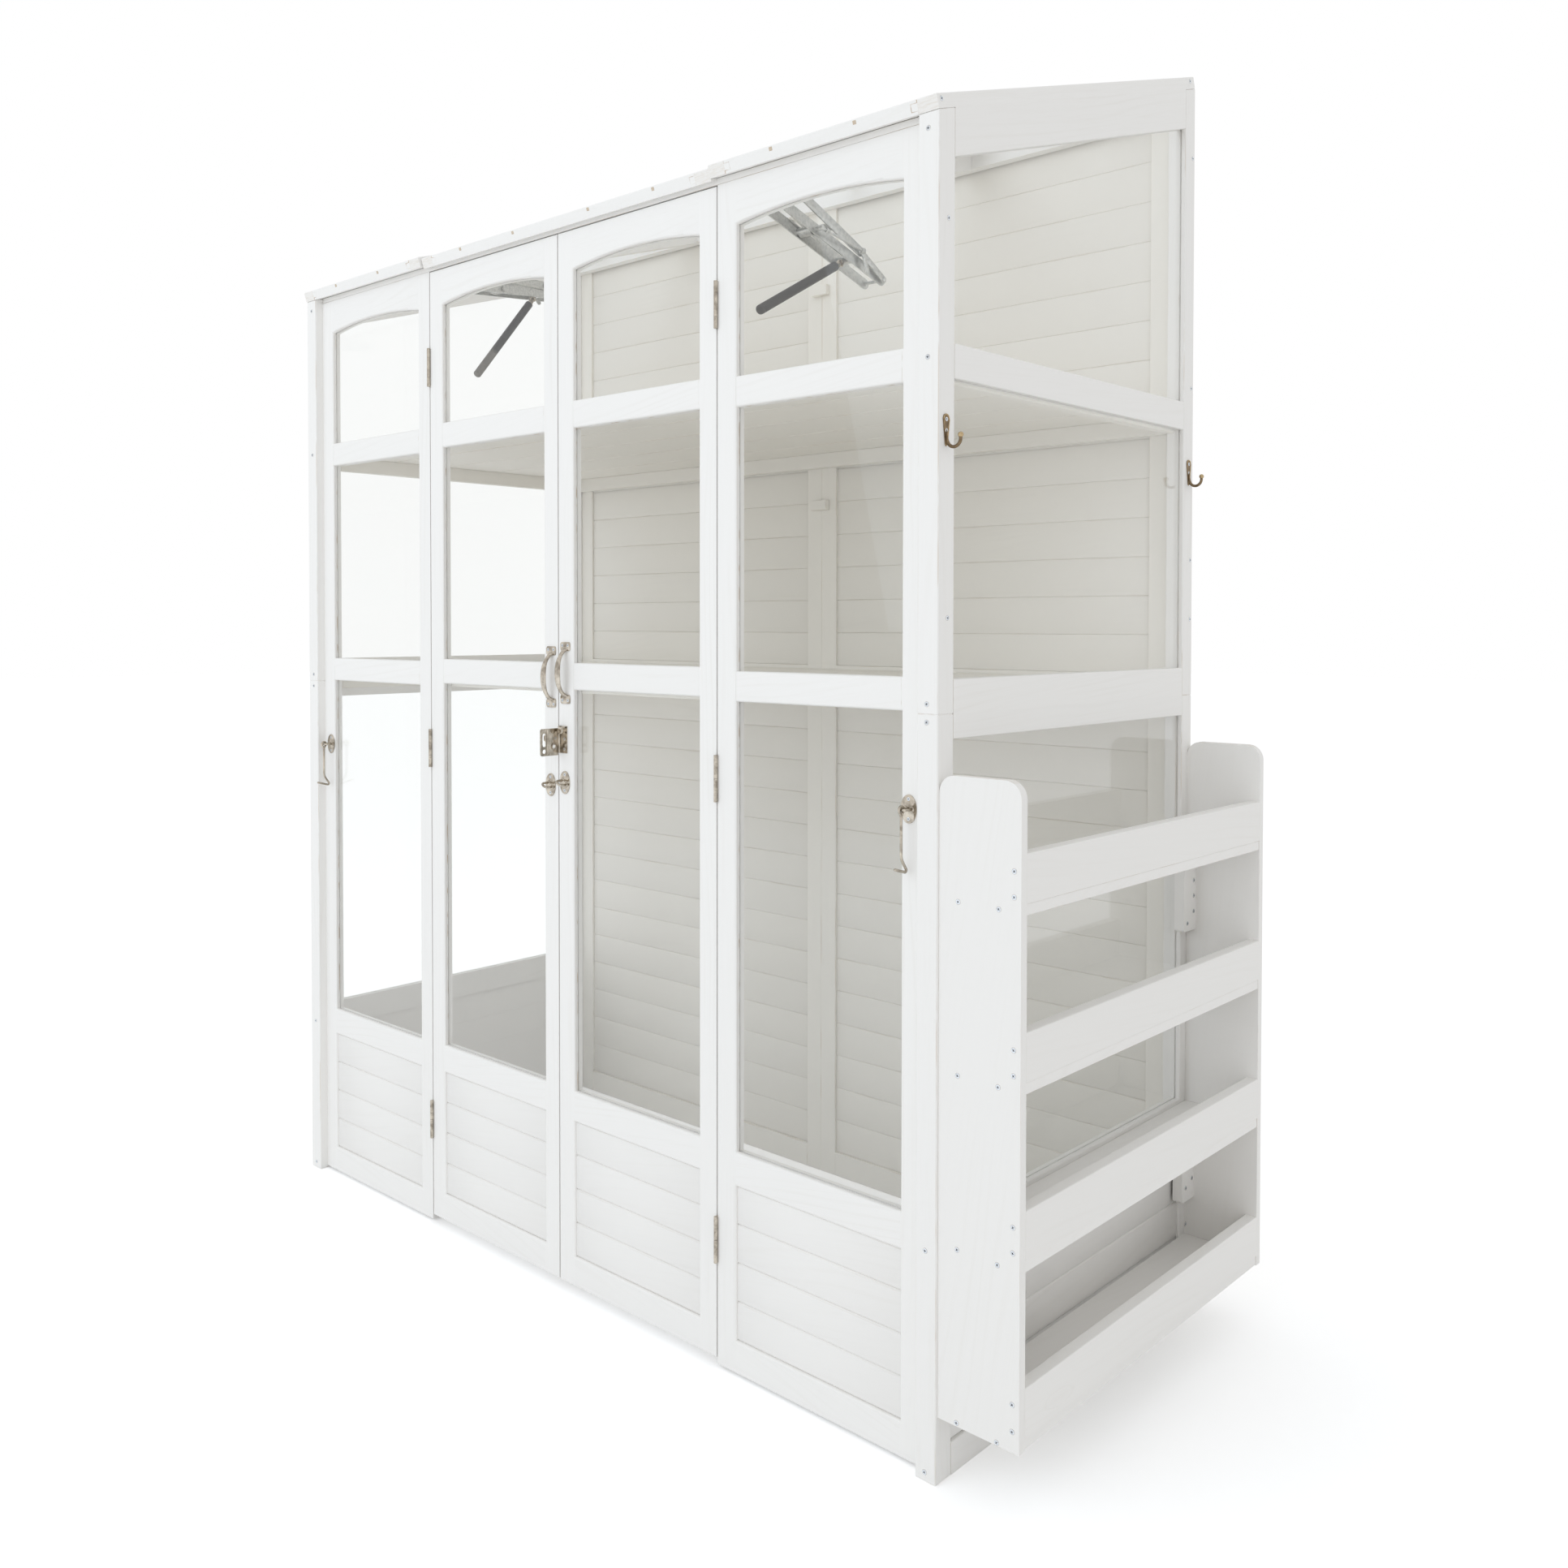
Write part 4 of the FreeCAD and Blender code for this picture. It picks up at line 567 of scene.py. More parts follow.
# %% Material: clear glass
GLASS_TINT, GLASS_BENDING = (0.985, 0.992, 0.988, 1), 1.45
LET_THROUGH = 0.98


def make_glass():
    material, tree, shader = new_material("clear glass")
    shader.inputs["Base Color"].default_value = GLASS_TINT
    shader.inputs["Transmission Weight"].default_value = 1.0
    shader.inputs["IOR"].default_value = GLASS_BENDING
    smear = noise(tree, object_spot(tree), 2.2, 3.0)
    tree.links.new(maths(tree, "MULTIPLY", ramp(tree, smear, 0.35, 0.8), 0.02), shader.inputs["Roughness"])
    rays = node(tree, "ShaderNodeLightPath")
    soft = maths(tree, "MAXIMUM", rays.outputs["Is Shadow Ray"], rays.outputs["Is Diffuse Ray"])
    alpha = maths(tree, "SUBTRACT", 1.0, maths(tree, "MULTIPLY", soft, LET_THROUGH))
    tree.links.new(alpha, shader.inputs["Alpha"])
    return material


clear_glass = make_glass()
print("glass", clear_glass.name)

# %% [markdown]
# ## Metals
# Three metals are seen: warm polished nickel on the door furniture, dull spangled zinc on the lid openers
# and dark antique brass on the coat hooks, golden where it is rubbed and where a highlight is painted. One
# group gives all of them fine brushing and cloudy tarnish, which on the nickel also paints dark reflections,
# and each material sets its own colours on it.

# %% Group: worn metal
BRUSHING = (900, 900, 60)


def build_metal():
    group, ends_in, ends_out = new_group(
        "worn metal",
        [("Clean", "NodeSocketColor", None), ("Tarnish And Dark Reflection", "NodeSocketColor", None),
         ("Cloud Size", "NodeSocketFloat", 90.0), ("Cloud Amount", "NodeSocketFloat", 0.5),
         ("Smooth", "NodeSocketFloat", 0.2), ("Dull", "NodeSocketFloat", 0.4)],
        [("Color", "NodeSocketColor"), ("Roughness", "NodeSocketFloat"), ("Height", "NodeSocketFloat")],
    )
    tree, spot = group, object_spot(group)
    clouds = noise(tree, spot, ends_in.outputs["Cloud Size"], 4.0, 0.6)
    cloudy = maths(tree, "MULTIPLY", ramp(tree, clouds, 0.40, 0.68), ends_in.outputs["Cloud Amount"])
    brushed = node(tree, "ShaderNodeVectorMath", {0: spot, 1: BRUSHING}, operation="MULTIPLY").outputs[0]
    scratches = noise(tree, brushed, 1.0, 2.0)
    colour = mixed(tree, cloudy, ends_in.outputs["Clean"], ends_in.outputs["Tarnish And Dark Reflection"])
    tree.links.new(colour, ends_out.inputs["Color"])
    spread = maths(tree, "SUBTRACT", ends_in.outputs["Dull"], ends_in.outputs["Smooth"])
    mark = maths(tree, "MULTIPLY", ramp(tree, scratches, 0.55, 0.75), 0.4)
    mark = maths(tree, "ADD", maths(tree, "MULTIPLY", cloudy, 0.6), mark)
    rough = maths(tree, "ADD", ends_in.outputs["Smooth"], maths(tree, "MULTIPLY", mark, spread))
    tree.links.new(rough, ends_out.inputs["Roughness"])
    height = maths(tree, "SUBTRACT", maths(tree, "MULTIPLY", clouds, 0.6), scratches)
    tree.links.new(height, ends_out.inputs["Height"])
    return group


worn_metal = build_metal()
print("worn metal group nodes", len(worn_metal.nodes))

# %% [markdown]
# A metal is its clean and its tarnished colour, which on the nickel is also painted dark reflection, how
# many clouds of tarnish a metre holds and how strong they are, and how rough it is where it is smooth and
# where it is dull.

# %% Materials: nickel, zinc, brass
def make_metal(name, clean, tarnish_and_dark_reflection, cloud_size, cloud_amount, smooth, dull, bump=0.05):
    material, tree, shader = new_material(name)
    group = node(tree, "ShaderNodeGroup", node_tree=worn_metal)
    values = {"Clean": clean, "Tarnish And Dark Reflection": tarnish_and_dark_reflection, "Cloud Size": cloud_size, "Cloud Amount": cloud_amount,
              "Smooth": smooth, "Dull": dull}
    for key, value in values.items():
        group.inputs[key].default_value = value
    tree.links.new(group.outputs["Color"], shader.inputs["Base Color"])
    tree.links.new(group.outputs["Roughness"], shader.inputs["Roughness"])
    add_bump(tree, shader, group.outputs["Height"], bump, 0.0003)
    shader.inputs["Metallic"].default_value = 1.0
    return material


# The nickel's dark clouds are tarnish and also painted dark reflections of its polish.
nickel = make_metal("polished nickel", (0.60, 0.545, 0.465, 1), (0.14, 0.112, 0.082, 1),
                    80.0, 0.72, 0.11, 0.34)
zinc = make_metal("galvanised steel", (0.66, 0.66, 0.64, 1), (0.47, 0.48, 0.47, 1),
                  210.0, 0.8, 0.34, 0.58, bump=0.12)
brass = make_metal("antique brass", (0.26, 0.185, 0.11, 1), (0.09, 0.068, 0.045, 1),
                   160.0, 0.75, 0.30, 0.55)
# Golden where rubbed, and brighter still where it paints the highlights of rims, wire and ball.
rubbed_brass_and_highlight = make_metal("rubbed brass and painted highlight", (0.50, 0.38, 0.22, 1), (0.30, 0.22, 0.12, 1),
                          220.0, 0.6, 0.20, 0.40)
print("metals", nickel.name, zinc.name, brass.name, rubbed_brass_and_highlight.name, sep=", ")

# %% [markdown]
# A screw head is one steel, but its cross recess is painted dark as shade, and a thin brown ring round it
# paints the shadow of the countersink. The attribute `spot` that the head's mesh carries tells the shader
# which of these a face is.

# %% Material: screw heads
# Painted shade in the cross recess, and a brown ring that paints the countersink's shadow.
RECESS_SHADE, COUNTERSINK_SHADOW = (0.10, 0.10, 0.11, 1), (0.56, 0.47, 0.37, 1)


def make_screw_steel():
    material = make_metal("screw steel", (0.72, 0.76, 0.80, 1), (0.45, 0.48, 0.52, 1),
                          420.0, 0.6, 0.20, 0.42)
    tree = material.node_tree
    shader = tree.nodes["Principled BSDF"]
    spot = node(tree, "ShaderNodeAttribute", attribute_name="spot").outputs["Vector"]
    hollow, ring = node(tree, "ShaderNodeSeparateXYZ", {0: spot}).outputs[:2]
    colour = mixed(tree, hollow, shader.inputs["Base Color"].links[0].from_socket, RECESS_SHADE)
    colour = mixed(tree, ring, colour, COUNTERSINK_SHADOW)
    tree.links.new(colour, shader.inputs["Base Color"])
    tree.links.new(maths(tree, "SUBTRACT", 1.0, ring), shader.inputs["Metallic"])
    return material


screw_steel = make_screw_steel()
print("screws", screw_steel.name)

# %% [markdown]
# The opener cylinders are painted tubes. The left one is black with a bare grey foot, the right one is dark
# grey all over. The tube's mesh carries `along`, 0 at the top and 1 at the foot, for that border. Paint
# hides the metal, so the coat has fine orange peel and rubbed patches.

# %% Materials: painted tubes
BLACK, GREY_FOOT, DARK_GREY = (0.012, 0.013, 0.016, 1), (0.17, 0.16, 0.145, 1), (0.052, 0.050, 0.047, 1)
RUBBED_BLACK, RUBBED_GREY = (0.04, 0.04, 0.045, 1), (0.085, 0.082, 0.077, 1)
FOOT_STARTS = (0.69, 0.73)


def make_paint(name, upper, foot, rubbed, rough):
    material, tree, shader = new_material(name)
    spot = object_spot(tree)
    peel, rub = noise(tree, spot, 900.0, 2.0), noise(tree, spot, 60.0, 5.0)
    along = node(tree, "ShaderNodeAttribute", attribute_name="along").outputs["Fac"]
    border = maths(tree, "ADD", along, maths(tree, "MULTIPLY", rub, 0.05))
    coat = mixed(tree, ramp(tree, border, *FOOT_STARTS), upper, foot)
    worn = maths(tree, "MULTIPLY", ramp(tree, rub, 0.52, 0.80), 0.6)
    tree.links.new(mixed(tree, worn, coat, rubbed), shader.inputs["Base Color"])
    tree.links.new(maths(tree, "ADD", rough, maths(tree, "MULTIPLY", rub, 0.15)), shader.inputs["Roughness"])
    add_bump(tree, shader, peel, 0.08, 0.0002)
    return material


black_tube = make_paint("black tube", BLACK, GREY_FOOT, RUBBED_BLACK, 0.24)
grey_tube = make_paint("grey tube", DARK_GREY, DARK_GREY, RUBBED_GREY, 0.34)
print("paints", black_tube.name, grey_tube.name, sep=", ")

# %% [markdown]
# ## Shapes for metal
# Furniture is made of three kinds of shape: flat plates with eased rims, things turned round an axis, and
# bent wire. A plate and a turned shape are a few lines of bmesh. They work in the drawing's millimetres.

# %% Helpers: plate and turned shape
X, Y, Z = Vector((1, 0, 0)), Vector((0, 1, 0)), Vector((0, 0, 1))


def circle(radius, steps, start=0.0, sweep=math.tau):
    """Points on a circle or, with a smaller sweep, on an arc with both ends."""
    closed = sweep >= math.tau - 1e-6
    count = steps if closed else steps + 1
    return [(radius * math.cos(start + sweep * k / steps), radius * math.sin(start + sweep * k / steps))
            for k in range(count)]


def plate(bm, outline, at, u, v, thick, ease, rim_skin=0):
    """A flat plate on the plane of u and v, thick along u x v, its front rim eased; gives its front face."""
    at, out = Vector(at), u.cross(v)
    back = [bm.verts.new(at + u * a + v * b) for a, b in outline]
    front = [bm.verts.new(at + u * a + v * b + out * thick) for a, b in outline]
    bm.faces.new(back[::-1])
    top = bm.faces.new(front)
    for k in range(len(outline)):
        after = (k + 1) % len(outline)
        bm.faces.new((back[k], back[after], front[after], front[k]))
    bmesh.ops.bevel(bm, geom=list(top.edges), offset=ease, offset_type="OFFSET", segments=2, profile=0.5,
                    affect="EDGES", clamp_overlap=True, material=rim_skin)
    bm.normal_update()
    middle = at + out * thick
    flat = [face for face in bm.faces
            if face.normal.dot(out) > 0.999 and abs((face.verts[0].co - middle).dot(out)) < 1e-3]
    return min(flat, key=lambda face: (face.calc_center_median() - middle).length)


def turned(bm, profile, at, axis, sides=24, skin=0):
    """A profile of (radius, distance) turned round an axis, its ends closed."""
    at, axis = Vector(at), Vector(axis).normalized()
    u = axis.orthogonal().normalized()
    v = axis.cross(u)
    profile = [(0.0, profile[0][1])] + list(profile) + [(0.0, profile[-1][1])]
    rings = []
    for radius, distance in profile:
        centre = at + axis * distance
        spots = circle(radius, sides) if radius > 1e-6 else [(0.0, 0.0)]
        rings.append([bm.verts.new(centre + u * a + v * b) for a, b in spots])
    for low, high in zip(rings, rings[1:]):
        for k in range(sides):
            corners = [low[k % len(low)], low[(k + 1) % len(low)],
                       high[(k + 1) % len(high)], high[k % len(high)]]
            corners = list(dict.fromkeys(corners))
            if len(corners) > 2:
                bm.faces.new(corners).material_index = skin


def swept(bm, path, wide, deep, side, steps=18):
    """A bar of oval sections along a path, with a half width along side and a half depth at each point."""
    rings, round_section = [], circle(1.0, steps)
    for k, spot in enumerate(path):
        ahead = path[min(k + 1, len(path) - 1)] - path[max(k - 1, 0)]
        out = ahead.cross(side).normalized()
        rings.append([bm.verts.new(spot + side * wide[k] * a + out * deep[k] * b) for a, b in round_section])
    for low, high in zip(rings, rings[1:]):
        for k in range(steps):
            bm.faces.new((low[k], low[(k + 1) % steps], high[(k + 1) % steps], high[k]))
    bm.faces.new(rings[0])
    bm.faces.new(rings[-1])


def flowing(rows, steps):
    """A smooth run of numbers through a few rows of them, each stretch cut in steps."""
    rows = [rows[0]] + list(rows) + [rows[-1]]
    run = []
    for before, a, b, after in zip(rows, rows[1:], rows[2:], rows[3:]):
        for k in range(steps):
            t = k / steps
            run.append([0.5 * (2 * q + (r - p) * t + (2 * p - 5 * q + 4 * r - s) * t * t
                               + (3 * q - p - 3 * r + s) * t ** 3)
                        for p, q, r, s in zip(before, a, b, after)])
    return run + [list(rows[-1])]


# %% [markdown]
# Bent wire follows a path, which is what Geometry Nodes do best: a chain of points becomes a curve, each
# point sets the wire's thickness, and a round section is drawn along it. Rings, hooks, rods and springs all
# come from this one tree.

# %% Geometry Nodes: wire along a path
def geometry_tree(name, sockets):
    """An empty geometry tree with a mesh going in and out, and its named inputs."""
    tree = bpy.data.node_groups.new(name, "GeometryNodeTree")
    tree.interface.new_socket("Geometry", in_out="INPUT", socket_type="NodeSocketGeometry")
    for title, kind in sockets:
        tree.interface.new_socket(title, in_out="INPUT", socket_type=kind)
    tree.interface.new_socket("Geometry", in_out="OUTPUT", socket_type="NodeSocketGeometry")
    return tree, tree.nodes.new("NodeGroupInput").outputs, tree.nodes.new("NodeGroupOutput").inputs


def run_tree(tree, mesh, values):
    """Evaluates a tree on a mesh with named values; gives the plain mesh that comes out."""
    carrier = into_scene("carrier", mesh)
    modifier = carrier.modifiers.new(tree.name, "NODES")
    modifier.node_group = tree
    for item in tree.interface.items_tree:
        if item.in_out == "INPUT" and item.name in values:
            modifier[item.identifier] = values[item.name]
    graph = bpy.context.evaluated_depsgraph_get()
    result = bpy.data.meshes.new_from_object(carrier.evaluated_get(graph))
    carrier.modifiers.clear()
    bpy.data.objects.remove(carrier)
    return result


def stored(tree, name, kind="FLOAT"):
    """An attribute of the mesh that comes in."""
    return node(tree, "GeometryNodeInputNamedAttribute", {"Name": name}, data_type=kind).outputs[0]


def finish_tree(tree, shape, material, result):
    """The two steps that every tree ends with: real geometry, and its material."""
    real = node(tree, "GeometryNodeRealizeInstances", {0: shape}).outputs[0]
    coated = node(tree, "GeometryNodeSetMaterial", {"Geometry": real, "Material": material}).outputs[0]
    tree.links.new(coated, result[0])


def build_wire_tree():
    sockets = [("Sides", "NodeSocketInt"), ("Material", "NodeSocketMaterial")]
    tree, given, result = geometry_tree("wire", sockets)
    chain = node(tree, "GeometryNodeMeshToCurve", {"Mesh": given["Geometry"]}).outputs[0]
    ring = {"Resolution": given["Sides"], "Radius": 1.0}
    section = node(tree, "GeometryNodeCurvePrimitiveCircle", ring).outputs[0]
    skin = node(tree, "GeometryNodeCurveToMesh", {"Curve": chain, "Profile Curve": section,
                                                  "Scale": stored(tree, "thickness"),
                                                  "Fill Caps": True}).outputs[0]
    finish_tree(tree, skin, given["Material"], result)
    return tree


wire_tree = build_wire_tree()
print("wire tree nodes", len(wire_tree.nodes))

# %% [markdown]
# The tree wants a path of points. A few corners give one when they are rounded off, and wire that was cut
# gets a small round nose at each end, made by letting the thickness shrink over the last points.

# %% Helpers: bent wire
NOSE_TURNS = [math.radians(a) for a in (30, 60, 82)]


def rounded(points, radius, steps=5):
    """A path of straight runs with its corners rounded, by less than half of each run."""
    points = [Vector(p) for p in points]
    path = [points[0]]
    for before, corner, after in zip(points, points[1:], points[2:]):
        reach = min(radius, (corner - before).length * 0.48, (after - corner).length * 0.48)
        start = corner + (before - corner).normalized() * reach
        end = corner + (after - corner).normalized() * reach
        for k in range(steps + 1):
            t = k / steps
            path.append(start * (1 - t) ** 2 + corner * 2 * t * (1 - t) + end * t ** 2)
    return path + [points[-1]]


def domed(path, radii):
    """Adds a round nose at both ends of a path of points and radii."""
    first, last = (path[0] - path[1]).normalized(), (path[-1] - path[-2]).normalized()
    noses = [(math.sin(a), math.cos(a)) for a in NOSE_TURNS]
    head = [(path[0] + first * radii[0] * out, radii[0] * wide) for out, wide in reversed(noses)]
    foot = [(path[-1] + last * radii[-1] * out, radii[-1] * wide) for out, wide in noses]
    whole = head + list(zip(path, radii)) + foot
    return [row[0] for row in whole], [row[1] for row in whole]


def wire(bm, path, radius, material, closed=False, sides=14):
    """Adds bent wire to a bmesh; the radius is one value or one for each point."""
    path = [Vector(p) for p in path]
    radii = list(radius) if isinstance(radius, (list, tuple)) else [radius] * len(path)
    if not closed:
        path, radii = domed(path, radii)
    mesh = bpy.data.meshes.new("wire path")
    links = [(k, k + 1) for k in range(len(path) - 1)] + ([(len(path) - 1, 0)] if closed else [])
    mesh.from_pydata(path, links, [])
    store(mesh, "thickness", radii)
    bm.from_mesh(run_tree(wire_tree, mesh, {"Sides": sides, "Material": material}))


def as_mesh(bm, name):
    """Turns a bmesh into a mesh."""
    mesh = bpy.data.meshes.new(name)
    bm.to_mesh(mesh)
    bm.free()
    return mesh


def metal_piece(name, bm, materials, body, stands_for=()):
    """Turns a bmesh in drawing millimetres into a finished piece in the scene."""
    bmesh.ops.recalc_face_normals(bm, faces=bm.faces)
    for vertex in bm.verts:
        vertex.co = place(*vertex.co)
    return add_piece(name, as_mesh(bm, name), materials, body, stands_for)


# %% [markdown]
# The same wire draws the thin lines of bare wood that show where the frames hold their glass and where the
# roof rails are joined. A line could be a groove in each board, but the boards are copies of the packed
# ones. So each line is a fine thread, sunk by half, that wears the wood's own material.

# %% Lines of bare wood
GLASS_EDGE_Y, REBATE = 24.6, 4.8
# Corners of a joint's line on a front rail: how far in from the rail's end, and the share up it.
JOINT_LINE = [(34, 1.0), (34, 0.82), (45, 0.82), (45, 0.25), (34, 0.25), (34, 0.02)]


def wood_lines(name, paths, radius, body, closed=False):
    """Thin lines of bare wood along paths, in drawing millimetres."""
    bm = bmesh.new()
    for path in paths:
        wire(bm, path, radius, frame_wood, closed, sides=6)
    mesh = metal_piece(name, bm, [frame_wood], body).data
    store(mesh, "grain", [Vector((v.co.x + v.co.z, v.co.y, 0.0)) * 3.0 for v in mesh.vertices])
    store(mesh, "finish", [(0.5, 1.0, 0.0)] * len(mesh.loops), "CORNER")
    print(name, "lines", len(paths))


for name in ("left_door_glass", "right_door_glass", "panel_glass"):
    paths = []
    for points, triangles in solids_of(name):
        spots = [(points[i] - place(0, 0, 0)) * 1000 for corners in triangles for i in corners]
        left, right = min(p.x for p in spots) + REBATE, max(p.x for p in spots) - REBATE
        foot, head = min(p.z for p in spots) + REBATE, max(p.z for p in spots) - REBATE
        paths.append([(x, GLASS_EDGE_Y, z)
                      for x, z in ((left, foot), (right, foot), (right, head), (left, head))])
    wood_lines(name + "_line", paths, 0.8, frame["nodes"][name]["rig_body"], closed=True)

for name, (low_x, high_x, bars) in ROOF_SECTIONS.items():
    paths = [[on_front_rail(name, end + way * a, share) for a, share in JOINT_LINE]
             for end, way in ((low_x, 1), (high_x, -1))]
    wood_lines(name + "_joints", paths, 0.65, frame["nodes"][name]["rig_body"])

# %% [markdown]
# ## Metal pieces from the solids
# Hinges, hasp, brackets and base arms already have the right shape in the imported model. They get the same
# treatment as the boards, with a much smaller chamfer: pressed and cut steel has crisp but never sharp
# edges, and the thin bright line along them is what makes it read as metal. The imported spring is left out
# of the base arms, because one of bent wire is made below.

# %% Metal: dress a node
def dress_metal(name, material, ease=0.00025, skip=0):
    """A copy of a metal node with fine chamfers; skip leaves out that many of its finest solids."""
    bm = bmesh.new()
    shells = sorted(solids_of(name), key=lambda solid: len(solid[1]))
    for points, triangles in shells[:len(shells) - skip]:
        shell = eased_solid(points, triangles, ease)
        for face in shell.faces:
            face.material_index = 0
        bm.from_mesh(as_mesh(shell, "shell"))
    body = frame["nodes"][name]["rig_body"]
    return add_piece(name + "_metal", as_mesh(bm, name), [material], body, [name])


for name in of_slot("polished_nickel"):
    if "hinge" in name or "hasp" in name:
        dress_metal(name, nickel)
steel = [name for name in of_slot("galvanised_steel") if "lid_arm" not in name]
for name in steel:
    dress_metal(name, zinc, skip=1 if "base_arm" in name else 0)
panes = of_slot("clear_glass")
for name in panes:
    frame["nodes"][name].data.materials[0] = clear_glass
print("glass nodes", len(panes), "steel nodes dressed", len(steel))

# %% [markdown]
# ## Pull handles
# Each door has a cast pull handle: two rounded plates, and a bow that leaves them in a flared foot, thins
# to a neck and swells to a broad grip. The wire tree draws round sections only, so the bow is skinned by
# hand: one smooth run of numbers gives height, reach, width and depth of its oval sections.

# %% Handles
FACE_Y = 17.0
HANDLE_PLATE, HANDLE_PLATE_UP = 1.7, 46.5
HANDLES = {"right_handle": (20.0, 1099.0, "right_door"), "left_handle": (-20.0, 1091.0, "left_door")}
BOW = [(41.5, 0.8, 7.0, 2.2), (39.6, 3.2, 5.6, 3.0), (36.2, 7.2, 4.2, 3.2), (30.0, 12.0, 4.3, 3.1),
       (21.5, 16.0, 5.4, 3.1), (11.0, 18.2, 6.6, 3.1), (0.0, 18.8, 7.0, 3.1)]


def rounded_box(w, h, r, steps=6):
    """The outline of a box with round corners."""
    corners = ((1, 1, 0), (-1, 1, 90), (-1, -1, 180), (1, -1, 270))
    return [(way_x * (w / 2 - r) + a, way_y * (h / 2 - r) + b) for way_x, way_y, turn in corners
            for a, b in circle(r, steps, math.radians(turn), math.pi / 2)]


def make_handle(name, x, z, body):
    bm = bmesh.new()
    rows = BOW + [(-up, reach, wide, deep) for up, reach, wide, deep in BOW[-2::-1]]
    run = flowing(rows, 4)
    path = [Vector((x, FACE_Y - reach, z + up)) for up, reach, wide, deep in run]
    swept(bm, path, [row[2] for row in run], [row[3] for row in run], X)
    for end in (-HANDLE_PLATE_UP, HANDLE_PLATE_UP):
        plate(bm, rounded_box(26, 16, 3.6), (x, FACE_Y, z + end), X, Z, HANDLE_PLATE, 0.7)
    return metal_piece(name + "_cast", bm, [nickel], body, [name])


for name, (x, z, body) in HANDLES.items():
    made = make_handle(name, x, z, body)
    print(made.name, "faces", len(made.data.polygons))

# %% [markdown]
# ## Eyes and gate hooks
# Four oval plates carry a wire eye each. The wire stands on two round feet and bends round its hole. The
# eyes of the doors are turned a little, so that their holes show.

# %% Eyes
HOOK_X, HOOK_Z = 779.0, 927.0
EYES = {"left_door_eye": [(-22.0, 898.0)], "right_door_eye": [(18.0, 905.0)],
        "hook_plates": [(-HOOK_X, HOOK_Z), (HOOK_X, HOOK_Z)]}
EYE_PLATE, EYE_WIRE = 1.6, 2.1
DOOR_EYE_TURN = math.radians(35.0)
EYE_FOOT = [(4.6, 1.2), (4.4, 2.3), (3.2, 2.9), (2.0, 3.2)]
EYE_BEND = [(-a, 5.0 - b) for a, b in circle(6.0, 16, math.pi, -math.pi)]
EYE_RUN = [(6.0, 16.0), (6.0, 8.0)] + EYE_BEND[1:-1] + [(-6.0, 8.0), (-6.0, 16.0)]


def oval(w, h, steps=44):
    """The outline of an oval."""
    return [(a * w / 2, b * h / 2) for a, b in circle(1.0, steps)]


def make_eyes(name, places):
    """The oval plates of a node with their wire eyes."""
    bm = bmesh.new()
    turn = DOOR_EYE_TURN if "door" in name else 0.0
    for x, z in places:
        plate(bm, oval(27, 41), (x, FACE_Y, z), X, Z, EYE_PLATE, 0.6)
        for a in (-6, 6):
            turned(bm, EYE_FOOT, (x + a * math.cos(turn), FACE_Y, z - a * math.sin(turn)), -Y)
        path = [(x + a * math.cos(turn), y, z - a * math.sin(turn)) for a, y in EYE_RUN]
        wire(bm, path, EYE_WIRE, nickel)
    body = frame["nodes"][name]["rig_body"]
    return metal_piece(name + "_wire", bm, [nickel], body, [name])


for name, places in EYES.items():
    made = make_eyes(name, places)
    print(made.name, "eyes", len(places), "faces", len(made.data.polygons))

# %% [markdown]
# On the two fixed panels a gate hook hangs from the eye: a wire ring that narrows to a shank, with a foot
# that is bent to catch the open door's eye. The numbers are how far each bend lies from the ring's middle.

# %% Gate hooks
HOOK_Y = -1.0
NECK = [(-1.6, -6.6), (0.0, -9.2), (1.6, -6.6)]
SHANK = [(0.0, -7.5), (0.0, -68.0), (12.0, -84.7), (9.8, -88.0), (-14.0, -81.5)]


def make_gate_hook(name, x):
    bm = bmesh.new()
    ring = circle(5.0, 22, math.radians(-50), math.radians(280)) + NECK
    wire(bm, [(x, HOOK_Y + a, HOOK_Z + b) for a, b in ring], 2.0, nickel, closed=True)
    wire(bm, rounded([(x, HOOK_Y + a, HOOK_Z + b) for a, b in SHANK], 6.0), 2.1, nickel)
    return metal_piece(name + "_wire", bm, [nickel], name, [name])


for name, x in (("right_gate_hook", HOOK_X), ("left_gate_hook", -HOOK_X)):
    made = make_gate_hook(name, x)
    print(made.name, "faces", len(made.data.polygons))

# %% [markdown]
# ## Coat hooks
# Two small cast hooks sit on the right side wall. The plate is a drop that tapers into the hook, its face
# sunk and dark, its rim rubbed golden with a painted highlight. The hook is a round bar that ends in a ball,
# both in the same golden brass with painted highlights.

# %% Coat hooks
SIDE_X = 840.0
COAT_HOOKS_Y = (16.5, DEPTH - 17.5)
COAT_HOOK_OUT, BALL = 24.9, 4.0


def drop_outline():
    """The plate's outline: a round top that tapers to a narrow foot."""
    top = [(a, b + 1465.0) for a, b in circle(7.0, 18, math.radians(-8), math.radians(196))]
    return top + [(-3.0, 1436.0), (-2.3, 1430.0), (0.0, 1427.6), (2.3, 1430.0), (3.0, 1436.0)]


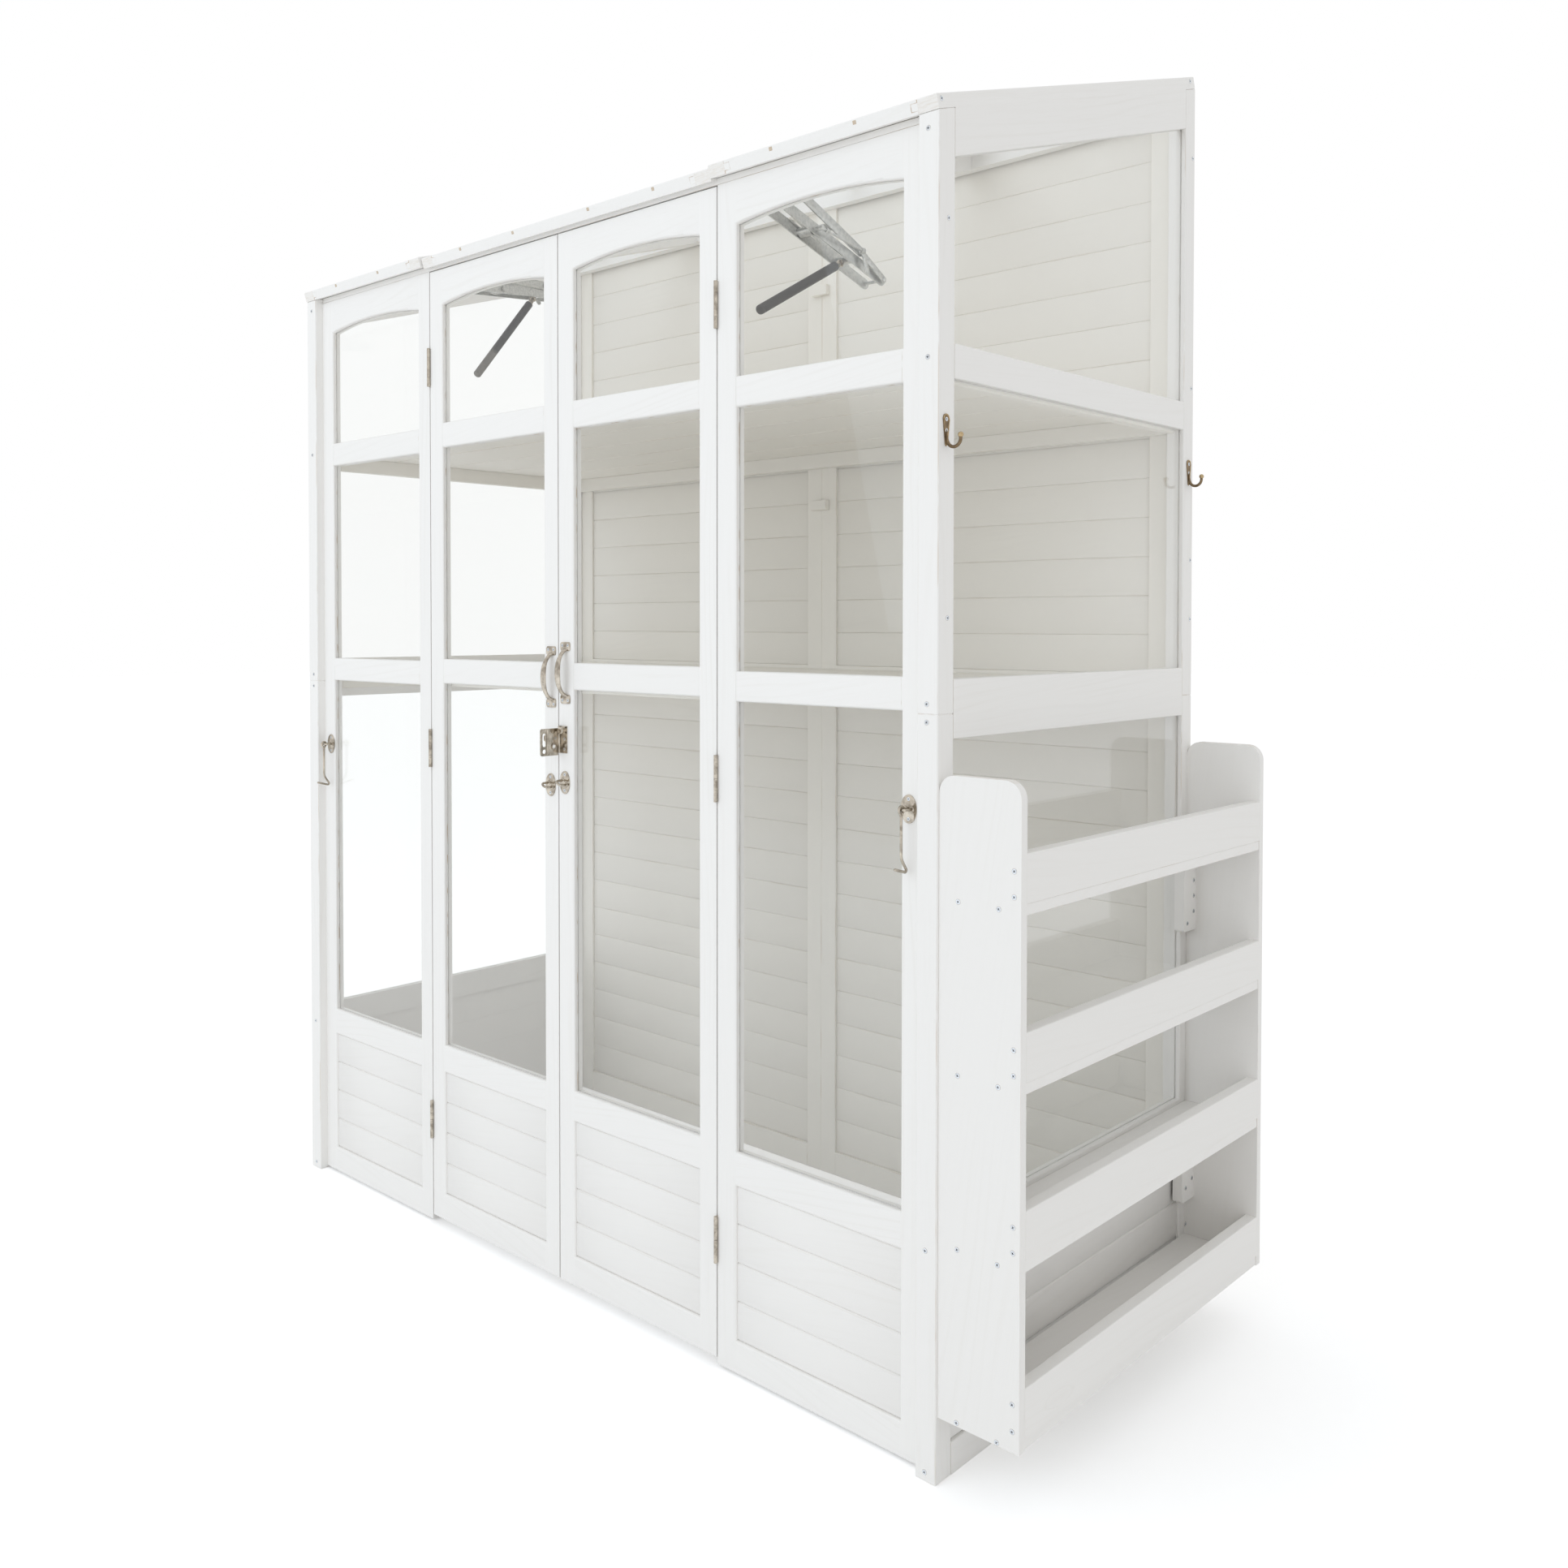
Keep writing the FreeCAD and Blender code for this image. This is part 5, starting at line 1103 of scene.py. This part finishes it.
def make_coat_hooks():
    bm = bmesh.new()
    ball = [(BALL * math.sin(math.pi * k / 14), -BALL * math.cos(math.pi * k / 14)) for k in range(1, 14)]
    end_x = SIDE_X + COAT_HOOK_OUT
    for y in COAT_HOOKS_Y:
        # Material 1 is the rubbed brass that also paints the highlights on the rim, the wire and the ball.
        face = plate(bm, drop_outline(), (SIDE_X, y, 0.0), Y, Z, 2.2, 0.8, rim_skin=1)
        rim = bmesh.ops.inset_individual(bm, faces=[face], thickness=0.7, depth=-0.7)
        for part in rim["faces"]:
            part.material_index = 1
        bend = [(SIDE_X + 13.8 - a, y, 1437.0 - b) for a, b in circle(11.0, 20, 0.0, math.pi)]
        path = flowing([(SIDE_X + 1.2, y, 1450.0), (SIDE_X + 2.2, y, 1443.0), *bend, (end_x, y, 1439.5)], 2)
        wire(bm, path, [1.2 + 1.2 * min(1.0, k / 8) for k in range(len(path))], rubbed_brass_and_highlight)
        turned(bm, ball, (end_x, y, 1441.5), Z, 22, skin=1)
    finishes = [brass, rubbed_brass_and_highlight]
    return metal_piece("coat_hooks_cast", bm, finishes, "carcass", ["coat_hooks"])


made = make_coat_hooks()
print(made.name, "faces", len(made.data.polygons))

# %% [markdown]
# ## Lid openers
# Under each lid sits an automatic opener: a cylinder whose wax swells in the warmth pushes a pair of scissor
# arms apart. The base arms are dressed solids already. The rest is placed in the frame of the base arm, so
# that it follows the arm's slope: a distance out from the opener's middle, one along the arm and a height
# square to it.

# %% Openers: the arm's frame
# The side and slope of each opener's base arm, and its pivot on the drawing.
OPENERS = {"right_opener": (1, math.radians(-17.06)), "left_opener": (-1, math.radians(4.91))}
PIVOT_X, PIVOT_Y, PIVOT_Z = 430.0, 92.0, 1866.0
# Places along the base arm.
SPACER, CROSS_BLOCK, ELBOW = 111.0, 211.0, 290.0


def on_arm(name, out, s, up=0.0):
    """A point of the opener, with out from its middle, s along the base arm and up square to it."""
    side, turn = OPENERS[name]
    return Vector((side * (PIVOT_X + out), PIVOT_Y + s * math.cos(turn) - up * math.sin(turn),
                   PIVOT_Z + s * math.sin(turn) + up * math.cos(turn)))


def arm_way(name, out, s, up):
    """A direction in the same frame."""
    return (on_arm(name, out, s, up) - on_arm(name, 0, 0, 0)).normalized()


def rivet(radius, thick):
    """The profile of a domed rivet head or a washer."""
    return [(radius * 0.97, 0.0), (radius, thick * 0.25), (radius * 0.9, thick * 0.7), (radius * 0.55, thick)]


print("opener slopes", [round(math.degrees(turn), 1) for side, turn in OPENERS.values()])

# %% [markdown]
# A torsion spring is wound on the arms' spacer, between a hex nut and a collar, and its two long ends lie
# along the arm. A helix is a rule, so its points are worked out and the wire tree draws it.

# %% Openers: spring
TURNS, PITCH, COIL, COIL_STEPS, COIL_START = 9, 2.9, 7.0, 22, -15.0
SPRING_NUT = [(4.8, 0.0), (5.2, 0.5), (5.2, 4.0), (4.4, 4.6)]
SPRING_COLLAR = [(5.6, 0.0), (6.0, 0.6), (6.0, 5.0), (5.2, 5.6)]


def make_spring(name):
    bm = bmesh.new()
    coil = [(k * PITCH / COIL_STEPS + COIL_START, SPACER + COIL * math.sin(math.tau * k / COIL_STEPS),
             COIL * math.cos(math.tau * k / COIL_STEPS)) for k in range(TURNS * COIL_STEPS + 1)]
    first, last = coil[0], coil[-1]
    path = [(first[0], first[1] - 30, COIL + 1.5), (first[0], first[1] - 15, COIL)] + coil
    path += [(last[0], last[1] + 40, COIL), (last[0], last[1] + 68, COIL)]
    wire(bm, [on_arm(name, *spot) for spot in path], 1.25, zinc, sides=10)
    across = arm_way(name, 1, 0, 0)
    turned(bm, SPRING_NUT, on_arm(name, -19.6, SPACER), -across, 6)
    turned(bm, SPRING_COLLAR, on_arm(name, 12.0, SPACER), across)
    return metal_piece(name + "_spring", bm, [zinc], name + "_base")


# %% [markdown]
# A push rod with three hex nuts runs beside the arms from the spacer to a small lever near the elbow. It
# stays outside the lid arm, so that the two pass each other when the lid lifts.

# %% Openers: push rod
ROD_OUT = 31.0
ROD_HEAD, LEVER_FOOT = (219, 16), (240, -10)
ROD_NUTS = ((10, 4.6), (14, 4.2), (104, 4.2))


def lever_outline(length, r):
    """A strip with round ends, along the first axis."""
    far = [(length + a, b) for a, b in circle(r, 12, -math.pi / 2, math.pi)]
    near = [(a, b) for a, b in circle(r, 12, math.pi / 2, math.pi)]
    return far + near


def make_push_rod(name):
    bm = bmesh.new()
    across = arm_way(name, 1, 0, 0)
    low, high = on_arm(name, ROD_OUT, SPACER), on_arm(name, ROD_OUT, *ROD_HEAD)
    way = (high - low).normalized()
    wire(bm, [low, high], 2.2, zinc, sides=16)
    for at, size in ROD_NUTS:
        turned(bm, [(size * 0.9, 0.0), (size, 0.5), (size, 2.7), (size * 0.9, 3.2)], low + way * at, way, 6)
    turned(bm, [(4.0, -11.5), (4.0, 3.0), (3.4, 3.8)], low, across)
    turned(bm, rivet(5.4, 6.5), high - across * 3, across)
    foot, head = on_arm(name, ROD_OUT - 2.4, *LEVER_FOOT), on_arm(name, ROD_OUT - 2.4, *ROD_HEAD)
    u = (head - foot).normalized()
    plate(bm, lever_outline((head - foot).length, 4.6), foot, u, across.cross(u), 1.6, 0.3)
    return metal_piece(name + "_push_rod", bm, [zinc], name + "_base")


# %% [markdown]
# The lid arms are made again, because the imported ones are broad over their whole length. The real ones are
# broad from the lid to a bend, and a slimmer lever, riveted on there, goes on to the elbow. A small plate
# ties the pair together.

# %% Openers: lid arms
LID_END_IN, BROAD_LENGTH, BEND_SIDEWAYS, TIE_AT = 9.0, 217.0, 7.0, 150
# Half width, thickness and the places out from the middle of the two arms, broad and slim.
BROAD_ARM, SLIM_ARM = (8.5, 2.5, (-24.5, 22.0)), (5.5, 1.7, (-26.0, 24.3))
RIVET_OUT = 25.9


def make_lid_arms(name):
    """The pair of lid arms: broad as far as the bend, then a slim lever to the elbow."""
    bm = bmesh.new()
    low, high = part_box(name + "_lid_arm")
    lid_end = Vector((OPENERS[name][0] * PIVOT_X, (low.y - FRONT_Y) * 1000 + LID_END_IN,
                      high.z * 1000 - LID_END_IN))
    elbow = on_arm(name, 0, ELBOW)
    along = (elbow - lid_end).normalized()
    bend = lid_end + along * BROAD_LENGTH + X.cross(along) * BEND_SIDEWAYS
    for start, end, (r, thick, outs) in ((lid_end, bend, BROAD_ARM), (bend, elbow, SLIM_ARM)):
        u = (end - start).normalized()
        for out in outs:
            outline = lever_outline((end - start).length, r)
            plate(bm, outline, start + X * out, u, X.cross(u), thick, 0.3)
    down_arm = (bend - lid_end).normalized()
    tie = lid_end + down_arm * TIE_AT + X.cross(down_arm) * 6.0
    plate(bm, rounded_box(45, 17, 1.0), tie, X, down_arm, 2.4, 0.3)
    for way in (X, -X):
        turned(bm, rivet(6.2, 2.2), bend + way * RIVET_OUT, way)
        turned(bm, rivet(4.6, 1.6), elbow + way * RIVET_OUT, way)
    old = name + "_lid_arm"
    return metal_piece(old + "_metal", bm, [zinc], name + "_link", [old])


for name in OPENERS:
    for made in (make_spring(name), make_push_rod(name), make_lid_arms(name)):
        print(made.name, "faces", len(made.data.polygons))

# %% [markdown]
# The cylinder hangs from the arms' cross block on a bright clevis with a hex nut. Its far end is rounded
# and has a shallow groove round it. All of it is round, so three turned profiles make it: each row is a
# radius and a distance from the block. The mesh stores `along`, so the paint knows top from foot.

# %% Openers: cylinder
CLEVIS = [(3.2, 5.0), (3.4, 8.0), (3.4, 20.0), (5.0, 20.3), (5.2, 21.0), (5.2, 27.5), (7.2, 28.0),
          (7.5, 29.0)]
CLEVIS_NUT = [(6.6, 12.4), (7.0, 12.8), (7.0, 15.2), (6.6, 15.6)]
TUBE = [(7.3, 29.0), (8.0, 29.8), (8.0, 236.0), (7.6, 236.6), (7.6, 237.8), (8.0, 238.4), (8.0, 240.0),
        (7.5, 242.2), (6.2, 243.6), (4.0, 244.2)]
FOLD = math.radians(180 + 46.5)
PAINTS = {"right_opener": (grey_tube, "grey_tube"), "left_opener": (black_tube, "black_tube")}


def make_cylinder(name, paint):
    block = on_arm(name, 0, CROSS_BLOCK)
    down = arm_way(name, 0, math.cos(FOLD), math.sin(FOLD))
    bm = bmesh.new()
    turned(bm, TUBE, block, down, 36)
    turned(bm, CLEVIS, block, down, 28, skin=1)
    turned(bm, CLEVIS_NUT, block, down, 6, skin=1)
    old = name + "_cylinder"
    piece = metal_piece(old + "_tube", bm, [paint, nickel], name + "_base", [old])
    top, foot = TUBE[0][1], TUBE[-1][1]
    spots = [(v.co - place(*block)).dot(down) * 1000 for v in piece.data.vertices]
    store(piece.data, "along", [(spot - top) / (foot - top) for spot in spots])
    return piece


for name, (paint, slot) in PAINTS.items():
    made = make_cylinder(name, paint)
    print(made.name, "faces", len(made.data.polygons))

# %% [markdown]
# ## Screws
# The cabinet is screwed together, and nearly a hundred cross-recessed heads show. They are all one shape,
# each turned its own way, so Geometry Nodes place them: a mesh of bare points says where, one attribute
# says which way the head looks and another how large it is. The head itself is a short bmesh: a flat disc
# with eased rim, a cross-shaped hollow painted dark as shade, and round it a thin brown ring that paints the
# countersink's shadow.

# %% Screws: one head
CROSS_LONG, CROSS_WIDE = 0.50, 0.13
HEAD_TOP, HOLLOW_FLOOR = 0.13, 0.03
# Radius and height of each ring of points: the painted countersink shadow, the foot and the top of the rim,
# the flat.
LEVELS = [(1.16, -0.02), (1.0, 0.02), (1.0, 0.05), (0.93, HEAD_TOP)]


def cross_reach(angle):
    """How far the cross-shaped hollow reaches from the middle at an angle."""
    turned_in = (angle + math.pi / 4) % (math.pi / 2) - math.pi / 4
    corner = math.atan2(CROSS_WIDE, CROSS_LONG)
    if abs(turned_in) <= corner + 1e-6:
        return CROSS_LONG / math.cos(turned_in)
    return CROSS_WIDE / math.sin(abs(turned_in))


def make_head(name, with_ring):
    """A screw head of radius 1 on the plane z = 0, as an object for the tree below."""
    bm = bmesh.new()
    corner = math.degrees(math.atan2(CROSS_WIDE, CROSS_LONG))
    angles = [math.radians(q + a) for q in (0, 90, 180, 270) for a in (0, corner, 45, 90 - corner)]
    spot = bm.loops.layers.float_vector.new("spot")
    rows = LEVELS if with_ring else LEVELS[1:]
    rings = [[(r * math.cos(a), r * math.sin(a), z) for a in angles] for r, z in rows]
    rings += [[(cross_reach(a) * math.cos(a), cross_reach(a) * math.sin(a), z) for a in angles]
              for z in (HEAD_TOP, HOLLOW_FLOOR)]
    rings = [[bm.verts.new(p) for p in ring] for ring in rings]
    for level, (low, high) in enumerate(zip(rings, rings[1:])):
        for k in range(len(angles)):
            after = (k + 1) % len(angles)
            face = bm.faces.new((low[k], low[after], high[after], high[k]))
            # The recess gets 1 here and is painted dark as shade.
            hollow = 1.0 if level == len(rings) - 2 else 0.0
            # The lowest ring paints the countersink's shadow in a brown of bare wood.
            bare = 1.0 if with_ring and level == 0 else 0.0
            for corner_loop in face.loops:
                corner_loop[spot] = (hollow, bare, 0.0)
    for corner_loop in bm.faces.new(rings[-1]).loops:
        corner_loop[spot] = (1.0, 0.0, 0.0)
    return into_scene(name, as_mesh(bm, name))


wood_head, plate_head = make_head("wood screw head", True), make_head("plate screw head", False)
print("faces of a head", len(wood_head.data.polygons))

# %% [markdown]
# On each bare point the tree sets one head, stands it upright on the surface, scales it and turns it by a
# random angle from a fixed seed.

# %% Screws: the tree that places them
def build_screw_tree():
    sockets = [("Head", "NodeSocketObject"), ("Turn Seed", "NodeSocketInt"),
               ("Material", "NodeSocketMaterial")]
    tree, given, result = geometry_tree("screws", sockets)
    head = node(tree, "GeometryNodeObjectInfo", {"Object": given["Head"]}).outputs["Geometry"]
    facing = {"Vector": stored(tree, "facing", "FLOAT_VECTOR")}
    upright = node(tree, "FunctionNodeAlignRotationToVector", facing, axis="Z").outputs[0]
    placed = node(tree, "GeometryNodeInstanceOnPoints", {"Points": given["Geometry"], "Instance": head,
                                                         "Rotation": upright,
                                                         "Scale": stored(tree, "size")}).outputs[0]
    chance = node(tree, "FunctionNodeRandomValue", {2: 0.0, 3: math.tau, "Seed": given["Turn Seed"]},
                  data_type="FLOAT").outputs[1]
    spin = node(tree, "ShaderNodeCombineXYZ", {2: chance}).outputs[0]
    spin = node(tree, "FunctionNodeEulerToRotation", {0: spin}).outputs[0]
    turned_in = node(tree, "GeometryNodeRotateInstances", {"Instances": placed, "Rotation": spin,
                                                           "Local Space": True}).outputs[0]
    finish_tree(tree, turned_in, given["Material"], result)
    return tree


screw_tree = build_screw_tree()
print("screw tree nodes", len(screw_tree.nodes))


def drive_screws(name, body, rows, head, seed):
    """One mesh of screws for a body; each row is a place, the way the head looks and its radius, in mm."""
    mesh = bpy.data.meshes.new(name)
    mesh.from_pydata([place(*row[0]) for row in rows], [], [])
    store(mesh, "facing", [Vector(row[1]) for row in rows])
    store(mesh, "size", [row[2] / 1000 for row in rows])
    result = run_tree(screw_tree, mesh, {"Head": head, "Turn Seed": seed, "Material": screw_steel})
    result.materials.clear()
    add_piece(name, result, [screw_steel], body)
    print(name, len(rows), "heads,", len(result.polygons), "faces")


# %% [markdown]
# Where the screws sit was read from the photograph: at the ends of rails in the posts, along the rack's
# boards at each shelf, in the rack's strips, and in all the furniture. The left side repeats the right.

# %% Screws: frames and rack
WOOD_SCREW = 3.7
RIGHT, LEFT, FRONT, BACK = (1, 0, 0), (-1, 0, 0), (0, -1, 0), (0, 1, 0)
POST_X, POST_LEVELS = 821.5, (1858, 1549, 1076, 1051, 322, 13)
# Places on the side walls: how far back, and the levels there.
SIDE_SCREWS = {22.0: (1738, 1194), DEPTH - 8.0: (1995.5, 1597, 1298, 1194.5)}
# Places on the rack's end boards: how far out from the wall, and the levels there.
RACK_RIM = {121: (863, 829, 628, 594, 394, 360, 159, 123), 97: (810, 574, 337, 99),
            32: (811, 575, 337.5, 100)}
RACK_Y, STRIP_OUT = 4.0, 18.0
# How far back and at what level on the strips by the back end board; the front strips mirror them.
STRIP_SCREWS = [(730, 740), (730, 713), (730, 686), (707, 668), (730, 217), (707, 206), (707, 143)]


def frame_screws():
    rows = []
    for side, facing in ((1, RIGHT), (-1, LEFT)):
        rows += [((side * POST_X, 0.0, z), FRONT, WOOD_SCREW) for z in POST_LEVELS]
        for y, levels in SIDE_SCREWS.items():
            rows += [((side * HALF_WIDTH, y, z), facing, WOOD_SCREW) for z in levels]
    return rows


def rack_screws():
    rows = []
    for out, levels in RACK_RIM.items():
        for z in levels:
            rows.append(((SIDE_X + out, RACK_Y, z), FRONT, WOOD_SCREW))
            rows.append(((SIDE_X + out, DEPTH, z), BACK, WOOD_SCREW))
    for y, z in STRIP_SCREWS:
        for strip_y in (y, DEPTH + RACK_Y - y):
            rows.append(((SIDE_X + STRIP_OUT, strip_y, z), RIGHT, WOOD_SCREW))
    return rows


drive_screws("frame_screws", "carcass", frame_screws() + rack_screws(), wood_head, 7)

# %% [markdown]
# Each lid shows one screw at either end of its outer rail. They ride on the lid, so that they lift with it.

# %% Screws: lids
LID_SCREWS = ((4.6, 1894.6), (732.0, 2125.5))
for body, side, facing in (("right_lid", 1, RIGHT), ("left_lid", -1, LEFT)):
    rows = [((side * HALF_WIDTH, y, z), facing, WOOD_SCREW) for y, z in LID_SCREWS]
    drive_screws(body + "_roof_screws", body, rows, wood_head, 11)

# %% [markdown]
# The screws of handles, eyes, hasp and coat hooks are smaller, sit on metal and have no painted countersink
# ring. Those of a door have to swing with it, so they are gathered body by body.

# %% Screws: door furniture and coat hooks
PLATE_SCREW, COAT_SCREW = 2.7, 2.9
HASP_X, HASP_LEVELS = 17.5, (964.0, 982.0)
COAT_LEVELS = (1464.5, 1449)


def furniture_screws(body):
    """The screws of the plates that ride on a body."""
    rows = []
    for x, z, rides in HANDLES.values():
        if rides == body:
            rows += [((x + a, FACE_Y - HANDLE_PLATE, z + end), FRONT, PLATE_SCREW)
                     for a in (-7.6, 7.6) for end in (-48.5, 48.5)]
    for name, places in EYES.items():
        if frame["nodes"][name]["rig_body"] == body:
            rows += [((x, FACE_Y - EYE_PLATE, z + up), FRONT, PLATE_SCREW)
                     for x, z in places for up in (-14, 14)]
    if body == "right_door":
        rows += [((HASP_X, FACE_Y - EYE_PLATE, z), FRONT, PLATE_SCREW) for z in HASP_LEVELS]
    if body == "carcass":
        rows += [((SIDE_X + 1.5, y, z), RIGHT, COAT_SCREW) for y in COAT_HOOKS_Y for z in COAT_LEVELS]
    return rows


for body in ("left_door", "right_door", "carcass"):
    drive_screws(body + "_furniture_screws", body, furniture_screws(body), plate_head, 3)
for head in (wood_head, plate_head):
    bpy.data.objects.remove(head)

# %% [markdown]
# ## Floor, light and background
# The photograph is a cut-out on white. Here the floor is a pale matt sheet that keeps the cabinet's soft
# shadow. For the camera, and in what glass and metal show of it, it is a little paler, so the open floor
# runs into the white background.

# %% Floor
FLOOR_REACH = 30.0
FLOOR_TONES = (0.93, 0.93, 0.93, 1), (0.95, 0.95, 0.95, 1)
FLOOR_LIFT = (0.22, 0.22, 0.22, 1)
NO_LIGHT, WHITE = (0, 0, 0, 1), (1, 1, 1, 1)


def make_floor():
    mesh = bpy.data.meshes.new("floor")
    r = FLOOR_REACH
    mesh.from_pydata([(-r, -r, 0), (r, -r, 0), (r, r, 0), (-r, r, 0)], [], [(0, 1, 2, 3)])
    material, tree, shader = new_material("pale floor")
    plain = mixed(tree, noise(tree, object_spot(tree), 3.0, 3.0), *FLOOR_TONES)
    seen = seen_by_eye(tree)
    tree.links.new(mixed(tree, seen, plain, WHITE), shader.inputs["Base Color"])
    tree.links.new(mixed(tree, seen, NO_LIGHT, FLOOR_LIFT), shader.inputs["Emission Color"])
    shader.inputs["Emission Strength"].default_value = 1.0
    shader.inputs["Roughness"].default_value = 0.9
    shader.inputs["Specular IOR Level"].default_value = 0.0
    mesh.materials.append(material)
    floor = into_scene("floor", mesh)
    return floor


made = make_floor()
print(made.name, "reaches", FLOOR_REACH, "m")

# %% [markdown]
# The world is an even, cool studio sky, a little dimmer as light than it looks as background. The light in
# the photograph is just as even, so nothing more is needed for the shaded sides.

# %% World
AMBIENT, SKY_COLOUR = 0.83, (0.98, 0.99, 1.0, 1)
bpy.context.scene.view_settings.view_transform = "Standard"
world = bpy.data.worlds.new("studio")
bpy.context.scene.world = world
world.use_nodes = True
sky = world.node_tree
background = sky.nodes["Background"]
seen = seen_by_eye(sky)
strength = maths(sky, "ADD", AMBIENT, maths(sky, "MULTIPLY", seen, 1 - AMBIENT))
sky.links.new(mixed(sky, seen, SKY_COLOUR, WHITE), background.inputs["Color"])
sky.links.new(strength, background.inputs["Strength"])
print("ambient", AMBIENT)

# %% [markdown]
# One large soft lamp stands high in front of the cabinet, to the left of the camera. It makes the front
# brighter than the side wall, as in the photograph, and is kept out of reflections, where its square would
# give it away.

# %% Lamp
KEY_PLACE, KEY_AIM = Vector((-0.8, -4.6, 3.0)), Vector((0.2, 0, 1.1))
lamp = bpy.data.lights.new("key light", "AREA")
lamp.shape, lamp.size, lamp.energy, lamp.color = "SQUARE", 4.0, 54.0, (0.79, 0.89, 1.0)
key = into_scene("key light", lamp)
key.location = KEY_PLACE
key.rotation_euler = (KEY_AIM - KEY_PLACE).to_track_quat("-Z", "Y").to_euler()
key.visible_glossy = False
print("key light", lamp.energy, "W")
